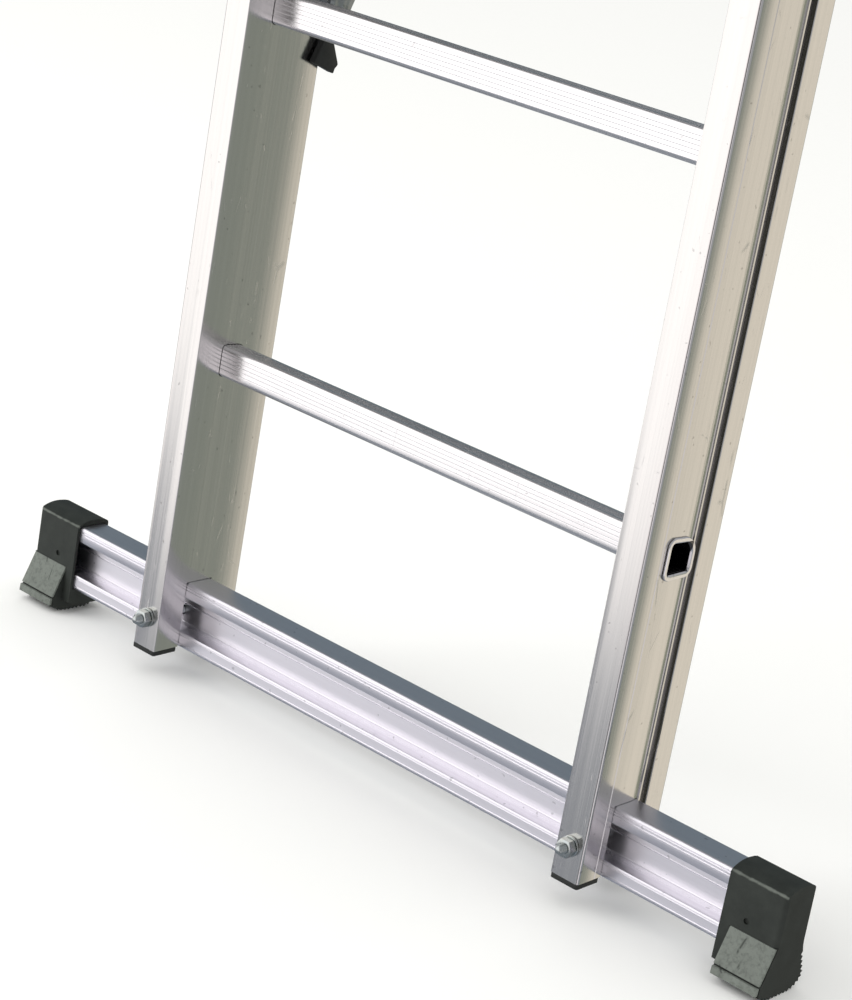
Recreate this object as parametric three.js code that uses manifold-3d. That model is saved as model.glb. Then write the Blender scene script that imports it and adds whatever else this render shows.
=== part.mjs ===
// Two-section extension ladder with a stabiliser bar across its foot. Millimetres, +Z up.
// X runs across the ladder, -Y is the side that is climbed, +Y is the side that leans on a wall.
// The base section stands on the bar's two rubber shoes. The fly section slides up behind it on
// four guides, and two pivoting hooks hold it on a rung of the base.
// Sizes are written from the base section's own datum: X = 0 midway between the stiles, Y = 0 on
// the front of the base stiles and Z = 0 at their lower ends. The last lines move the whole ladder
// so that its origin is under the middle of its bounding box, on the ground.
import * as THREE from "three";
import { mergeVertices } from "three/addons/utils/BufferGeometryUtils.js";
import Module from "manifold-3d";

// Driving dimensions.
const CLEARANCE = 0.3; // between pieces that touch
const RUNG_PITCH = 280;
const RUNG_SIZE = 27; // square tube
const RUNG_CORNER = 5;
const RUNG_WALL = 1.5;

const BASE = {
  inner: 211, // half the clear width between the stiles
  outer: 236,
  front: 0,
  rear: 85,
  wall: 2,
  length: 2350,
  firstRung: 244.5,
  rungs: 8,
  rungY: 40, // centre plane of the rungs and of the stabiliser bar
};
const BASE_GROOVE = { from: 56, to: 64, depth: 4 }; // guide groove in the stile's outer face
const SECTION_GAP = 5; // between the base section and the fly section
const FLY = {
  inner: 171,
  outer: 193,
  front: BASE.rear + SECTION_GAP,
  rear: BASE.rear + SECTION_GAP + 60,
  wall: 2,
  bottom: 585,
  firstRung: BASE.firstRung + 2 * RUNG_PITCH,
  rungs: 7,
  rungY: BASE.rear + SECTION_GAP + 37,
  aboveLastRung: 130,
};
const FLY_GROOVE = { from: FLY.front + 6, to: FLY.front + 14, depth: 3.5 };
const FLY_TOP = FLY.firstRung + (FLY.rungs - 1) * RUNG_PITCH + FLY.aboveLastRung;
const FLY_TRAVEL = 4 * RUNG_PITCH;

const BAR = { height: 56, depth: 27, wall: 2, halfLength: 384, corner: 2.5 };
const BAR_CHANNEL = { from: 13.5, to: 43, depth: 12 }; // along the front of the bar
const BAR_FRONT = BASE.rungY - BAR.depth / 2;
const BAR_REAR = BASE.rungY + BAR.depth / 2;

const BOLT = { radius: 4, height: 26, tip: -15, headWidth: 13, headThickness: 5.3 };
const BOLT_HOLE_RADIUS = 4.4;
const NUT = { width: 13, thickness: 6.5 };
const WASHER = { radius: 8, thickness: 1.6 };

const SHOE = { inner: 341.5, outer: 390, front: 23.5, rear: 57, top: 59.5, bottom: -23 };
const PAD = { inner: 350.5, outer: 389.5, thickness: 3 };
const CAP_THICKNESS = 4;
const CAP_PLUG = 12;
const WALL_PAD = { height: 70, thickness: 4 };

const HOOK_PIVOT = { y: 100, z: 572 };
const LOCK_PIVOT = { y: 84, z: 520 };
const PIN_RADIUS = 3;
const PLATE_INNER = 199.3; // hook bracket's plate, measured from the ladder's centre plane
const PLATE_OUTER = 203.3;
const BRACKET = { front: FLY.front + 3, rear: FLY.rear - 20, bottom: 588, top: 655 }; // its riveted part
const HOOK_HUB_RADIUS = 12;
const LOCK_HUB_RADIUS = 8;
const SWING_INNER = 203.7; // hooks and lift locks swing in this layer
const SWING_OUTER = 209.3;
const GUIDE_THICKNESS = 2.5;
const GUIDE_HEIGHT = 60;
const LOWER_GUIDE_BOTTOM = 670;
const RUNNING_GAP = 1.2; // between a guide and the section that slides in it

const ARC_STEPS = 2; // chords in each quarter turn
const ROUND_SIDES = 14;
const SIDES = [
  ["left", -1],
  ["right", 1],
];

const finish = (color, roughness, metalness) => () =>
  new THREE.MeshStandardMaterial({ color, roughness, metalness });
const aluminium = finish(0xcfccc9, 0.38, 1);
const rungAluminium = finish(0xd9d3d3, 0.42, 1);
const zinc = finish(0xdfe0e2, 0.25, 1);
const steel = finish(0xa9adb0, 0.35, 1);
const rubber = finish(0x2c302c, 0.8, 0);
const padRubber = finish(0x6e746e, 0.85, 0);
const plastic = finish(0x262826, 0.6, 0);

const wasm = await Module();
wasm.setup();

// A closed geometry as a manifold-3d solid.
function solid(geometry) {
  const bare = geometry.clone();
  bare.deleteAttribute("normal");
  bare.deleteAttribute("uv");
  const merged = mergeVertices(bare, 1e-4);
  return new wasm.Manifold(
    new wasm.Mesh({
      numProp: 3,
      vertProperties: merged.attributes.position.array,
      triVerts: new Uint32Array(merged.index.array),
    }),
  );
}

const cut = (body, ...tools) =>
  tools.reduce((rest, tool) => rest.subtract(solid(tool)), solid(body));
const join = (body, ...others) =>
  others.reduce((sum, other) => sum.add(solid(other)), solid(body));

// A manifold-3d solid as a geometry.
function geometryOf(body) {
  const { numProp, vertProperties, triVerts } = body.getMesh();
  const positions = new Float32Array((vertProperties.length / numProp) * 3);
  for (let i = 0; i < positions.length / 3; i++)
    positions.set(vertProperties.subarray(i * numProp, i * numProp + 3), i * 3);
  return new THREE.BufferGeometry()
    .setAttribute("position", new THREE.BufferAttribute(positions, 3))
    .setIndex(new THREE.BufferAttribute(new Uint32Array(triVerts), 1));
}

const ladder = new THREE.Group();
const assembly = new THREE.Group();
const base = new THREE.Group();
const fly = new THREE.Group();
assembly.add(base, fly);
ladder.add(assembly);

function piece(group, name, shape, material) {
  const geometry = shape.isBufferGeometry ? shape : geometryOf(shape);
  if (!geometry.getAttribute("normal")) geometry.computeVertexNormals();
  const mesh = new THREE.Mesh(geometry, material());
  mesh.name = name;
  group.add(mesh);
}

// Outlines. ExtrudeGeometry turns a hole's wall the right way only inside an anticlockwise outline.
const points = (list) => list.map(([u, v]) => new THREE.Vector2(u, v));
function outline(list) {
  const corners = points(list);
  return new THREE.Shape(THREE.ShapeUtils.isClockWise(corners) ? corners.reverse() : corners);
}

function roundedRect(left, bottom, right, top, radius, Kind = THREE.Shape) {
  const path = new Kind();
  path.absarc(left + radius, bottom + radius, radius, Math.PI, 1.5 * Math.PI);
  path.absarc(right - radius, bottom + radius, radius, 1.5 * Math.PI, 2 * Math.PI);
  path.absarc(right - radius, top - radius, radius, 0, 0.5 * Math.PI);
  path.absarc(left + radius, top - radius, radius, 0.5 * Math.PI, Math.PI);
  path.closePath();
  return path;
}

// An outline extruded along one axis. Along Z its points are (x, y), and along X they are (y, z).
function extrude(shape, from, to) {
  const geometry = new THREE.ExtrudeGeometry(shape, {
    depth: to - from,
    bevelEnabled: false,
    curveSegments: ARC_STEPS,
  });
  return geometry.translate(0, 0, from);
}
const alongZ = (shape, from, to) => extrude(shape, from, to);
function alongX(shape, from, to) {
  const turn = new THREE.Matrix4().makeBasis(
    new THREE.Vector3(0, 1, 0),
    new THREE.Vector3(0, 0, 1),
    new THREE.Vector3(1, 0, 0),
  );
  return extrude(shape, Math.min(from, to), Math.max(from, to)).applyMatrix4(turn);
}
const rodY = (radius, x, z, from, to, sides = ROUND_SIDES) =>
  new THREE.CylinderGeometry(radius, radius, to - from, sides).translate(x, (from + to) / 2, z);
const rodX = (radius, y, z, from, to) =>
  new THREE.CylinderGeometry(radius, radius, Math.abs(to - from), ROUND_SIDES)
    .rotateZ(Math.PI / 2)
    .translate((from + to) / 2, y, z);
const block = (x0, y0, z0, x1, y1, z1) =>
  new THREE.BoxGeometry(Math.abs(x1 - x0), y1 - y0, z1 - z0).translate(
    (x0 + x1) / 2,
    (y0 + y1) / 2,
    (z0 + z1) / 2,
  );

// A stile: a hollow rectangle with a guide groove along its outer face.
function stileBlank(section, groove, side, bottom, top) {
  const { inner, outer, front, rear, wall } = section;
  const grooveFloor = outer - groove.depth;
  const skin = outline(
    [
      [inner, front],
      [outer, front],
      [outer, groove.from],
      [grooveFloor, groove.from],
      [grooveFloor, groove.to],
      [outer, groove.to],
      [outer, rear],
      [inner, rear],
    ].map(([x, y]) => [side * x, y]),
  );
  const hollow = [
    [inner + wall, front + wall],
    [outer - wall, front + wall],
    [outer - wall, groove.from - wall],
    [grooveFloor - wall, groove.from - wall],
    [grooveFloor - wall, groove.to + wall],
    [outer - wall, groove.to + wall],
    [outer - wall, rear - wall],
    [inner + wall, rear - wall],
  ].map(([x, y]) => [side * x, y]);
  skin.holes.push(new THREE.Path(points(hollow)));
  return alongZ(skin, bottom, top);
}

const rungHeights = (section) =>
  Array.from({ length: section.rungs }, (_, i) => section.firstRung + i * RUNG_PITCH);

function rungSquare(y, z, size, radius, Kind) {
  return roundedRect(y - size / 2, z - size / 2, y + size / 2, z + size / 2, radius, Kind);
}

// The hole that a rung enters by, from one X to another.
const rungHole = (y, z, from, to) =>
  alongX(rungSquare(y, z, RUNG_SIZE + 2 * CLEARANCE, RUNG_CORNER + CLEARANCE), from, to);

// A rung is an open tube. A flared one passes through both stiles and is turned over outside them.
function rung(y, z, halfLength, flaredAt) {
  const bore = rungSquare(y, z, RUNG_SIZE - 2 * RUNG_WALL, RUNG_CORNER - RUNG_WALL, THREE.Path);
  const ring = (size, radius) => {
    const shape = rungSquare(y, z, size, radius);
    shape.holes.push(bore);
    return shape;
  };
  const tube = alongX(ring(RUNG_SIZE, RUNG_CORNER), -halfLength, halfLength);
  if (!flaredAt) return tube;
  const lips = SIDES.map(([, side]) =>
    alongX(ring(RUNG_SIZE + 4.6, RUNG_CORNER + 2), side * flaredAt, side * halfLength),
  );
  return join(tube, ...lips);
}

// A plug that closes a stile's end: a plate on the end and a shank that enters the hollow.
// Its plate and shank are given by their Y and Z ranges.
function endCap({ inner, outer, wall }, side, plateY, plateZ, shankY, shankZ) {
  const ends = [side * inner, side * outer].sort((a, b) => a - b);
  const inset = side * (wall + CLEARANCE);
  const plate = roundedRect(ends[0], plateY[0], ends[1], plateY[1], 2);
  const shank = block(
    side * inner + inset,
    shankY[0],
    shankZ[0],
    side * outer - inset,
    shankY[1],
    shankZ[1],
  );
  return join(alongZ(plate, ...plateZ), shank);
}

// Base section.
const notch = (side) =>
  block(
    side * (BASE.inner - 1),
    BAR_FRONT - CLEARANCE,
    -1,
    side * (BASE.outer + 1),
    BAR_REAR + CLEARANCE,
    BAR.height + CLEARANCE,
  );

for (const [name, side] of SIDES) {
  const boltX = (side * (BASE.inner + BASE.outer)) / 2;
  const holes = rungHeights(BASE).map((z, i) =>
    rungHole(BASE.rungY, z, side * (BASE.inner - 1), side * (i ? BASE.inner + 8 : BASE.outer + 1)),
  );
  piece(
    base,
    "base_stile_" + name,
    cut(
      stileBlank(BASE, BASE_GROOVE, side, 0, BASE.length),
      notch(side),
      rodY(BOLT_HOLE_RADIUS, boltX, BOLT.height, -1, BASE.rear + 1),
      ...holes,
    ),
    aluminium,
  );
  const inside = BASE.wall + CLEARANCE;
  const soleZ = [-CAP_THICKNESS, -CLEARANCE];
  const bootZ = [-1, CAP_PLUG];
  const toe = endCap(BASE, side, [0, BAR_FRONT - 1], soleZ, [inside, BAR_FRONT - 4], bootZ);
  piece(base, "toe_cap_" + name, toe, plastic);
  const heelShank = [BASE_GROOVE.to + inside, BASE.rear - inside];
  const heel = endCap(BASE, side, [BAR_REAR + 1, BASE.rear], soleZ, heelShank, bootZ);
  piece(base, "heel_cap_" + name, heel, plastic);
  const topZ = [BASE.length + CLEARANCE, BASE.length + CAP_THICKNESS];
  const plugZ = [BASE.length - CAP_PLUG, BASE.length + 1];
  const topCap = endCap(BASE, side, [0, BASE.rear], topZ, [inside, BAR_FRONT], plugZ);
  piece(base, "base_top_cap_" + name, topCap, plastic);

  // Bolt, nut and washers that hold the bar in the stile's notch.
  const headFrom = BASE.rear + WASHER.thickness + 2 * CLEARANCE;
  const hexRadius = BOLT.headWidth / Math.sqrt(3);
  piece(
    base,
    "bar_bolt_" + name,
    join(
      rodY(BOLT.radius, boltX, BOLT.height, BOLT.tip, headFrom + 1),
      rodY(hexRadius, boltX, BOLT.height, headFrom, headFrom + BOLT.headThickness, 6),
    ),
    zinc,
  );
  const washer = (from) =>
    cut(
      rodY(WASHER.radius, boltX, BOLT.height, from, from + WASHER.thickness),
      rodY(BOLT_HOLE_RADIUS, boltX, BOLT.height, from - 1, from + WASHER.thickness + 1),
    );
  const frontWasher = -CLEARANCE - WASHER.thickness;
  piece(base, "front_washer_" + name, washer(frontWasher), zinc);
  piece(base, "rear_washer_" + name, washer(BASE.rear + CLEARANCE), zinc);
  const nutRear = frontWasher - CLEARANCE;
  piece(
    base,
    "bar_nut_" + name,
    cut(
      rodY(NUT.width / Math.sqrt(3), boltX, BOLT.height, nutRear - NUT.thickness, nutRear, 6),
      rodY(BOLT_HOLE_RADIUS, boltX, BOLT.height, nutRear - NUT.thickness - 1, nutRear + 1),
    ),
    zinc,
  );
}

rungHeights(BASE).forEach((z, i) => {
  const flaredAt = BASE.outer + CLEARANCE;
  const blindEnd = BASE.outer - BASE.wall - CLEARANCE;
  const shape = i ? rung(BASE.rungY, z, blindEnd) : rung(BASE.rungY, z, flaredAt + 1.6, flaredAt);
  piece(base, "base_rung_" + (i + 1), shape, rungAluminium);
});

// Stabiliser bar: an open-ended box section with a channel along its front.
{
  const { height, wall, corner } = BAR;
  const floor = BAR_FRONT + BAR_CHANNEL.depth;
  const skin = new THREE.Shape();
  skin.absarc(BAR_FRONT + corner, corner, corner, Math.PI, 1.5 * Math.PI);
  skin.absarc(BAR_REAR - corner, corner, corner, 1.5 * Math.PI, 2 * Math.PI);
  skin.absarc(BAR_REAR - corner, height - corner, corner, 0, 0.5 * Math.PI);
  skin.absarc(BAR_FRONT + corner, height - corner, corner, 0.5 * Math.PI, Math.PI);
  skin.lineTo(BAR_FRONT, BAR_CHANNEL.to);
  skin.lineTo(floor, BAR_CHANNEL.to);
  skin.lineTo(floor, BAR_CHANNEL.from);
  skin.lineTo(BAR_FRONT, BAR_CHANNEL.from);
  skin.closePath();
  skin.holes.push(
    new THREE.Path(
      points([
        [BAR_FRONT + wall, wall],
        [BAR_REAR - wall, wall],
        [BAR_REAR - wall, height - wall],
        [BAR_FRONT + wall, height - wall],
        [BAR_FRONT + wall, BAR_CHANNEL.to + wall],
        [floor + wall, BAR_CHANNEL.to + wall],
        [floor + wall, BAR_CHANNEL.from - wall],
        [BAR_FRONT + wall, BAR_CHANNEL.from - wall],
      ]),
    ),
  );
  const boltHoles = SIDES.map(([, side]) =>
    rodY(BOLT_HOLE_RADIUS, (side * (BASE.inner + BASE.outer)) / 2, BOLT.height, 0, BASE.rear),
  );
  piece(
    base,
    "stabiliser_bar",
    cut(alongX(skin, -BAR.halfLength, BAR.halfLength), ...boltHoles),
    aluminium,
  );
}

// Shoes on the ends of the bar. Each flares to a wide curved sole, and a tread pad is let into
// the flare at the front.
const FLARE = { top: 17.5, toe: 11.5, toeTop: -10, padEnd: -16 };
for (const [name, side] of SIDES) {
  const { front, rear, top, bottom, inner, outer } = SHOE;
  const t = PAD.thickness + CLEARANCE;
  const profile = outline([
    [front, FLARE.top],
    [front, top - 3],
    [front + 3, top],
    [rear - 3, top],
    [rear, top - 3],
    [rear + 1, 13],
    [65.5, -13],
    [62, -19],
    [52, bottom],
    [28, bottom],
    [FLARE.toe + t, FLARE.padEnd - 2],
    [FLARE.toe + t, FLARE.toeTop],
    [front + t, FLARE.top],
  ]);
  const socket = block(
    side * (inner - 1),
    BAR_FRONT - CLEARANCE,
    -CLEARANCE,
    side * (BAR.halfLength + CLEARANCE),
    BAR_REAR + CLEARANCE,
    BAR.height + CLEARANCE,
  );
  const body = cut(alongX(profile, side * inner, side * outer), socket);
  piece(base, "shoe_" + name, body, rubber);
  const pad = outline([
    [front, FLARE.top - CLEARANCE],
    [FLARE.toe, FLARE.toeTop],
    [FLARE.toe - 0.5, FLARE.padEnd],
    [FLARE.toe + PAD.thickness, FLARE.padEnd],
    [FLARE.toe + PAD.thickness, FLARE.toeTop - CLEARANCE],
    [front + PAD.thickness, FLARE.top - CLEARANCE],
  ]);
  piece(base, "tread_pad_" + name, alongX(pad, side * PAD.inner, side * PAD.outer), padRubber);
}

// Upper guides: riveted to the base, they reach round behind it and into the fly's groove.
// Lower guides: riveted to the fly, they reach round in front of it and into the base's groove.
// Travel stops: blocks in the base's groove that the lower guides come up against.
const behindBase = BASE.rear + (SECTION_GAP - GUIDE_THICKNESS) / 2;
const LOWER_GUIDE_TOP = LOWER_GUIDE_BOTTOM + GUIDE_HEIGHT;
const UPPER_LIP_REACH = 2.2; // how far a guide's lip goes inwards from its side plate
const LOWER_LIP_REACH = 3;
const GUIDE_FLANGE = 15; // distance of the lower guide's rear end from the fly's rear
const UPPER_GUIDE_FRONT = 66;
const STOP_LENGTH = 28;
const STOP_HEIGHT = 3; // above the stile's face
const STOP_GAP = 0.5; // between a lower guide and its stop at full travel
for (const [name, side] of SIDES) {
  const t = GUIDE_THICKNESS;
  const mirror = (list) => outline(list.map(([x, y]) => [side * x, y]));
  const onBase = BASE.outer + CLEARANCE;
  const besideFly = FLY.outer + RUNNING_GAP;
  const flyLip = (FLY_GROOVE.from + FLY_GROOVE.to) / 2;
  const upper = mirror([
    [onBase, UPPER_GUIDE_FRONT],
    [onBase + t, UPPER_GUIDE_FRONT],
    [onBase + t, behindBase + t],
    [besideFly + t, behindBase + t],
    [besideFly + t, flyLip + t],
    [besideFly - UPPER_LIP_REACH, flyLip + t],
    [besideFly - UPPER_LIP_REACH, flyLip - t],
    [besideFly, flyLip - t],
    [besideFly, behindBase],
    [onBase, behindBase],
  ]);
  const top = BASE.length - 10;
  piece(base, "upper_guide_" + name, alongZ(upper, top - GUIDE_HEIGHT, top), steel);

  const onFly = FLY.outer + CLEARANCE;
  const besideBase = BASE.outer + RUNNING_GAP;
  const baseLip = (BASE_GROOVE.from + BASE_GROOVE.to) / 2;
  const lower = mirror([
    [onFly, FLY.rear - GUIDE_FLANGE],
    [onFly, behindBase],
    [besideBase, behindBase],
    [besideBase, baseLip + t],
    [besideBase - LOWER_LIP_REACH, baseLip + t],
    [besideBase - LOWER_LIP_REACH, baseLip - t],
    [besideBase + t, baseLip - t],
    [besideBase + t, behindBase + t],
    [onFly + t, behindBase + t],
    [onFly + t, FLY.rear - GUIDE_FLANGE],
  ]);
  piece(
    fly,
    "lower_guide_" + name,
    alongZ(lower, LOWER_GUIDE_BOTTOM, LOWER_GUIDE_TOP),
    steel,
  );

  const stopFrom = LOWER_GUIDE_TOP + FLY_TRAVEL + STOP_GAP;
  piece(
    base,
    "travel_stop_" + name,
    block(
      side * (BASE.outer - BASE_GROOVE.depth + CLEARANCE),
      BASE_GROOVE.from + 1,
      stopFrom,
      side * (BASE.outer + STOP_HEIGHT),
      BASE_GROOVE.to - 1,
      stopFrom + STOP_LENGTH,
    ),
    plastic,
  );
}

// Fly section.
for (const [name, side] of SIDES) {
  const holes = rungHeights(FLY).map((z) =>
    rungHole(FLY.rungY, z, side * (FLY.inner - 1), side * (FLY.inner + 8)),
  );
  piece(
    fly,
    "fly_stile_" + name,
    cut(stileBlank(FLY, FLY_GROOVE, side, FLY.bottom, FLY_TOP), ...holes),
    aluminium,
  );
  const { inner, outer, front, rear, bottom, wall } = FLY;
  const shankY = [FLY_GROOVE.to + wall + CLEARANCE, rear - wall - CLEARANCE];
  const footZ = [bottom - CAP_THICKNESS, bottom - CLEARANCE];
  const foot = endCap(FLY, side, [front, rear], footZ, shankY, [bottom - 1, bottom + CAP_PLUG]);
  piece(fly, "fly_foot_cap_" + name, foot, plastic);

  // The wall cap covers the stile's top and its rear edge, where the ladder leans on a wall.
  const capZ = [FLY_TOP + CLEARANCE, FLY_TOP + CAP_THICKNESS];
  const plugZ = [FLY_TOP - CAP_PLUG, FLY_TOP + 1];
  const cap = endCap(FLY, side, [front, rear + WALL_PAD.thickness], capZ, shankY, plugZ);
  const wallPad = block(
    side * inner,
    rear + CLEARANCE,
    FLY_TOP - WALL_PAD.height,
    side * outer,
    rear + WALL_PAD.thickness,
    FLY_TOP + 1,
  );
  piece(fly, "wall_cap_" + name, cap.add(solid(wallPad)), rubber);
}

rungHeights(FLY).forEach((z, i) =>
  piece(
    fly,
    "fly_rung_" + (i + 1),
    rung(FLY.rungY, z, FLY.outer - FLY.wall - CLEARANCE),
    rungAluminium,
  ),
);

// Hooks that carry the fly on a rung, and the locks that hang below them and keep it from lifting.
const HOOK_RUNG = BASE.firstRung + RUNG_PITCH;
const hookRest = HOOK_RUNG + RUNG_SIZE / 2 + CLEARANCE;
const hub = (pivot, radius, from, to) => rodX(radius, pivot.y, pivot.z, from, to);

for (const [name, side] of SIDES) {
  const plate = [side * PLATE_INNER, side * PLATE_OUTER];
  const swing = [side * SWING_INNER, side * SWING_OUTER];
  const through = [side * (PLATE_INNER - 1), side * (SWING_OUTER + 1)];

  const bracket = join(
    alongX(
      outline([
        [BRACKET.rear, BRACKET.bottom],
        [BRACKET.rear, BRACKET.top],
        [BRACKET.front, BRACKET.top],
        [86, 590],
        [80, 548],
        [74, 528],
        [74, 514],
        [79, 508],
        [90, 508],
        [94, 514],
        [113, 560],
      ]),
      ...plate,
    ),
    block(
      side * (FLY.outer + CLEARANCE),
      BRACKET.front,
      BRACKET.bottom + 7,
      plate[0],
      BRACKET.rear,
      BRACKET.top,
    ),
  );
  const pinHole = (pivot) => solid(rodX(PIN_RADIUS + CLEARANCE, pivot.y, pivot.z, ...through));
  piece(
    fly,
    "hook_bracket_" + name,
    bracket.subtract(pinHole(HOOK_PIVOT)).subtract(pinHole(LOCK_PIVOT)),
    steel,
  );

  const front = BASE.rungY - RUNG_SIZE / 2;
  const back = BASE.rungY + RUNG_SIZE / 2;
  const hook = join(
    alongX(
      outline([
        [front - 1, hookRest - 6],
        [front - 1, hookRest],
        [back + 2, hookRest],
        [back + 6.5, 528],
        [back + 12.5, 528],
        [back + 17, 551],
        [HOOK_PIVOT.y, 560],
        [HOOK_PIVOT.y, 584],
        [60, 572],
        [24, 560],
        [front - 8, 549],
        [front - 8, hookRest - 6],
      ]),
      ...swing,
    ),
    hub(HOOK_PIVOT, HOOK_HUB_RADIUS, ...swing),
  );
  piece(fly, "rung_hook_" + name, hook.subtract(pinHole(HOOK_PIVOT)), steel);

  const lock = join(
    alongX(
      outline([
        [79, 520],
        [79, 499],
        [72, 483.5],
        [95, 474.5],
        [96, 478.5],
        [99, 481.5],
        [90, 500],
        [89, 520],
      ]),
      ...swing,
    ),
    hub(LOCK_PIVOT, LOCK_HUB_RADIUS, ...swing),
  );
  piece(fly, "lift_lock_" + name, lock.subtract(pinHole(LOCK_PIVOT)), plastic);

  for (const [kind, pivot] of [
    ["hook", HOOK_PIVOT],
    ["lock", LOCK_PIVOT],
  ])
    piece(
      fly,
      kind + "_pin_" + name,
      rodX(PIN_RADIUS, pivot.y, pivot.z, side * (PLATE_INNER - 0.5), side * (SWING_OUTER + 0.5)),
      zinc,
    );
}

// Origin: on the ground, under the middle of the ladder's depth from bolt tips to wall caps.
const DEPTH_MIDDLE = (BOLT.tip + FLY.rear + WALL_PAD.thickness) / 2;
assembly.position.set(0, -DEPTH_MIDDLE, -SHOE.bottom);

export default ladder;
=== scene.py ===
"""Two-section extension ladder with a stabiliser bar: the finished pieces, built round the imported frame.

Sizes are in millimetres from the base section's own datum: X = 0 midway between the stiles, Y = 0 on
the front of the base stiles, Z = 0 at their lower ends. at() turns them into metres in the row frame.
"""
import math
from types import SimpleNamespace

import bmesh
import bpy
from mathutils import Matrix, Vector


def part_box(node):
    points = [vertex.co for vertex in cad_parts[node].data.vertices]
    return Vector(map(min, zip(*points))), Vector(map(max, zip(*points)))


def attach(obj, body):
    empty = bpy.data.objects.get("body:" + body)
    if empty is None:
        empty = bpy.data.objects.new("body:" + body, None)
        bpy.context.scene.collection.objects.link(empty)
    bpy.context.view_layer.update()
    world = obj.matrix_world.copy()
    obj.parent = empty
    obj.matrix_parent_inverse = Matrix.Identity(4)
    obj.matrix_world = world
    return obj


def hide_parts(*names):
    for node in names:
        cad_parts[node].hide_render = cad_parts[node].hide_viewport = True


bl_info = {
    "name": "Extension Ladder",
    "version": (1, 0, 0),
    "blender": (4, 5, 0),
    "location": "View3D > Sidebar > Ladder",
    "description": "Builds a two-section aluminium extension ladder with a stabiliser bar",
    "category": "Object",
}

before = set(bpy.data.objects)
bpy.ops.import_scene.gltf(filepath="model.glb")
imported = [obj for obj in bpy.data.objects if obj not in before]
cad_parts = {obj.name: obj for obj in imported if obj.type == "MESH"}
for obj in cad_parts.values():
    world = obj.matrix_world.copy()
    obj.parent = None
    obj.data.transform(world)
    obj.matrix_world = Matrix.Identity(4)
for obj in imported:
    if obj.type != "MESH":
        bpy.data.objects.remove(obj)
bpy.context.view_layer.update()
MM = 0.001
SIDES = (("left", -1), ("right", 1))
LOW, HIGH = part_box("base_stile_right")
DATUM = Vector((0, LOW.y, LOW.z))


def at(x, y, z):
    """A point in millimetres from the datum, as metres in the row frame."""
    return DATUM + Vector((x, y, z)) * MM


def extent(node):
    """The lowest and highest corner of a CAD node, in millimetres from the datum."""
    low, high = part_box(node)
    return (low - DATUM) / MM, (high - DATUM) / MM


def linear(code):
    """An sRGB hex colour as linear red, green and blue."""
    parts = [int(code[i : i + 2], 16) / 255 for i in (1, 3, 5)]
    return tuple(c / 12.92 if c <= 0.04045 else ((c + 0.055) / 1.055) ** 2.4 for c in parts)


def length_prop(name, default, about):
    return bpy.props.FloatProperty(name=name, description=about, default=default * MM, unit="LENGTH")


def colour_prop(name, code, about):
    return bpy.props.FloatVectorProperty(
        name=name, description=about, default=linear(code), size=3, min=0, max=1, subtype="COLOR"
    )


# ---------------------------------------------------------------- outlines, in millimetres


def arc(centre, radius, start, end, steps=6):
    """Points on an arc from one angle to another, in degrees."""
    turns = [math.radians(start + (end - start) * i / steps) for i in range(steps + 1)]
    return [(centre[0] + radius * math.cos(a), centre[1] + radius * math.sin(a)) for a in turns]


def scored(start, end, places, width, depth):
    """The V-shaped lines scored in a straight side of an anticlockwise outline, at distances along it."""
    along = (Vector(end) - Vector(start)).normalized()
    inward = Vector((-along.y, along.x))
    points = []
    for place in places:
        middle = Vector(start) + along * place
        points += [middle - along * width / 2, middle + inward * depth, middle + along * width / 2]
    return [tuple(p) for p in points]


# ---------------------------------------------------------------- meshes

PUT = {"X": lambda u, v, w: at(w, u, v), "Y": lambda u, v, w: at(u, w, v), "Z": lambda u, v, w: at(u, v, w)}


def prism(mesh, outline, axis, start, end, hole=()):
    """Adds an outline carried along an axis. With a hole it is a tube with open ends."""
    rims = [
        [[mesh.verts.new(PUT[axis](u, v, w)) for u, v in loop] for loop in (outline, hole) if loop]
        for w in (start, end)
    ]
    for near, far in zip(*rims):
        for i in range(len(near)):
            mesh.faces.new((near[i - 1], near[i], far[i], far[i - 1]))
    for loops in rims:
        if hole:
            edges = [mesh.edges.get((loop[i - 1], loop[i])) for loop in loops for i in range(len(loop))]
            bmesh.ops.triangle_fill(mesh, edges=edges, use_beauty=True)
        else:
            mesh.faces.new(loops[0])


def looped(mesh, rings):
    """Adds a closed skin over rings of points, the last of which joins the first."""
    rows = [[mesh.verts.new(point) for point in ring] for ring in rings]
    for row, following in zip(rows, rows[1:] + rows[:1]):
        for i in range(len(row)):
            mesh.faces.new((row[i - 1], row[i], following[i], following[i - 1]))


def turned(mesh, axis, centre, profile, sides=32):
    """Adds a turned solid. Its profile holds (radius, distance along the axis) and either starts and
    ends at radius 0 or closes on itself."""
    rows = []
    for radius, along in profile:
        count = sides if radius else 1
        angles = [2 * math.pi * i / sides for i in range(count)]
        rows.append(
            [
                mesh.verts.new(
                    PUT[axis](centre[0] + radius * math.cos(a), centre[1] + radius * math.sin(a), along)
                )
                for a in angles
            ]
        )
    pairs = list(zip(rows, rows[1:]))
    if profile[0][0]:
        pairs.append((rows[-1], rows[0]))
    for near, far in pairs:
        for i in range(sides):
            corners = [near[i - 1] if len(near) > 1 else near[0]]
            corners += [near[i]] if len(near) > 1 else []
            corners += [far[i], far[i - 1]] if len(far) > 1 else [far[0]]
            mesh.faces.new(corners)


def plain_object(name, mesh):
    """A bmesh as an object whose faces point outwards."""
    bmesh.ops.recalc_face_normals(mesh, faces=mesh.faces)
    data = bpy.data.meshes.new(name)
    mesh.to_mesh(data)
    mesh.free()
    made = bpy.data.objects.new(name, data)
    bpy.context.scene.collection.objects.link(made)
    return made


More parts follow.
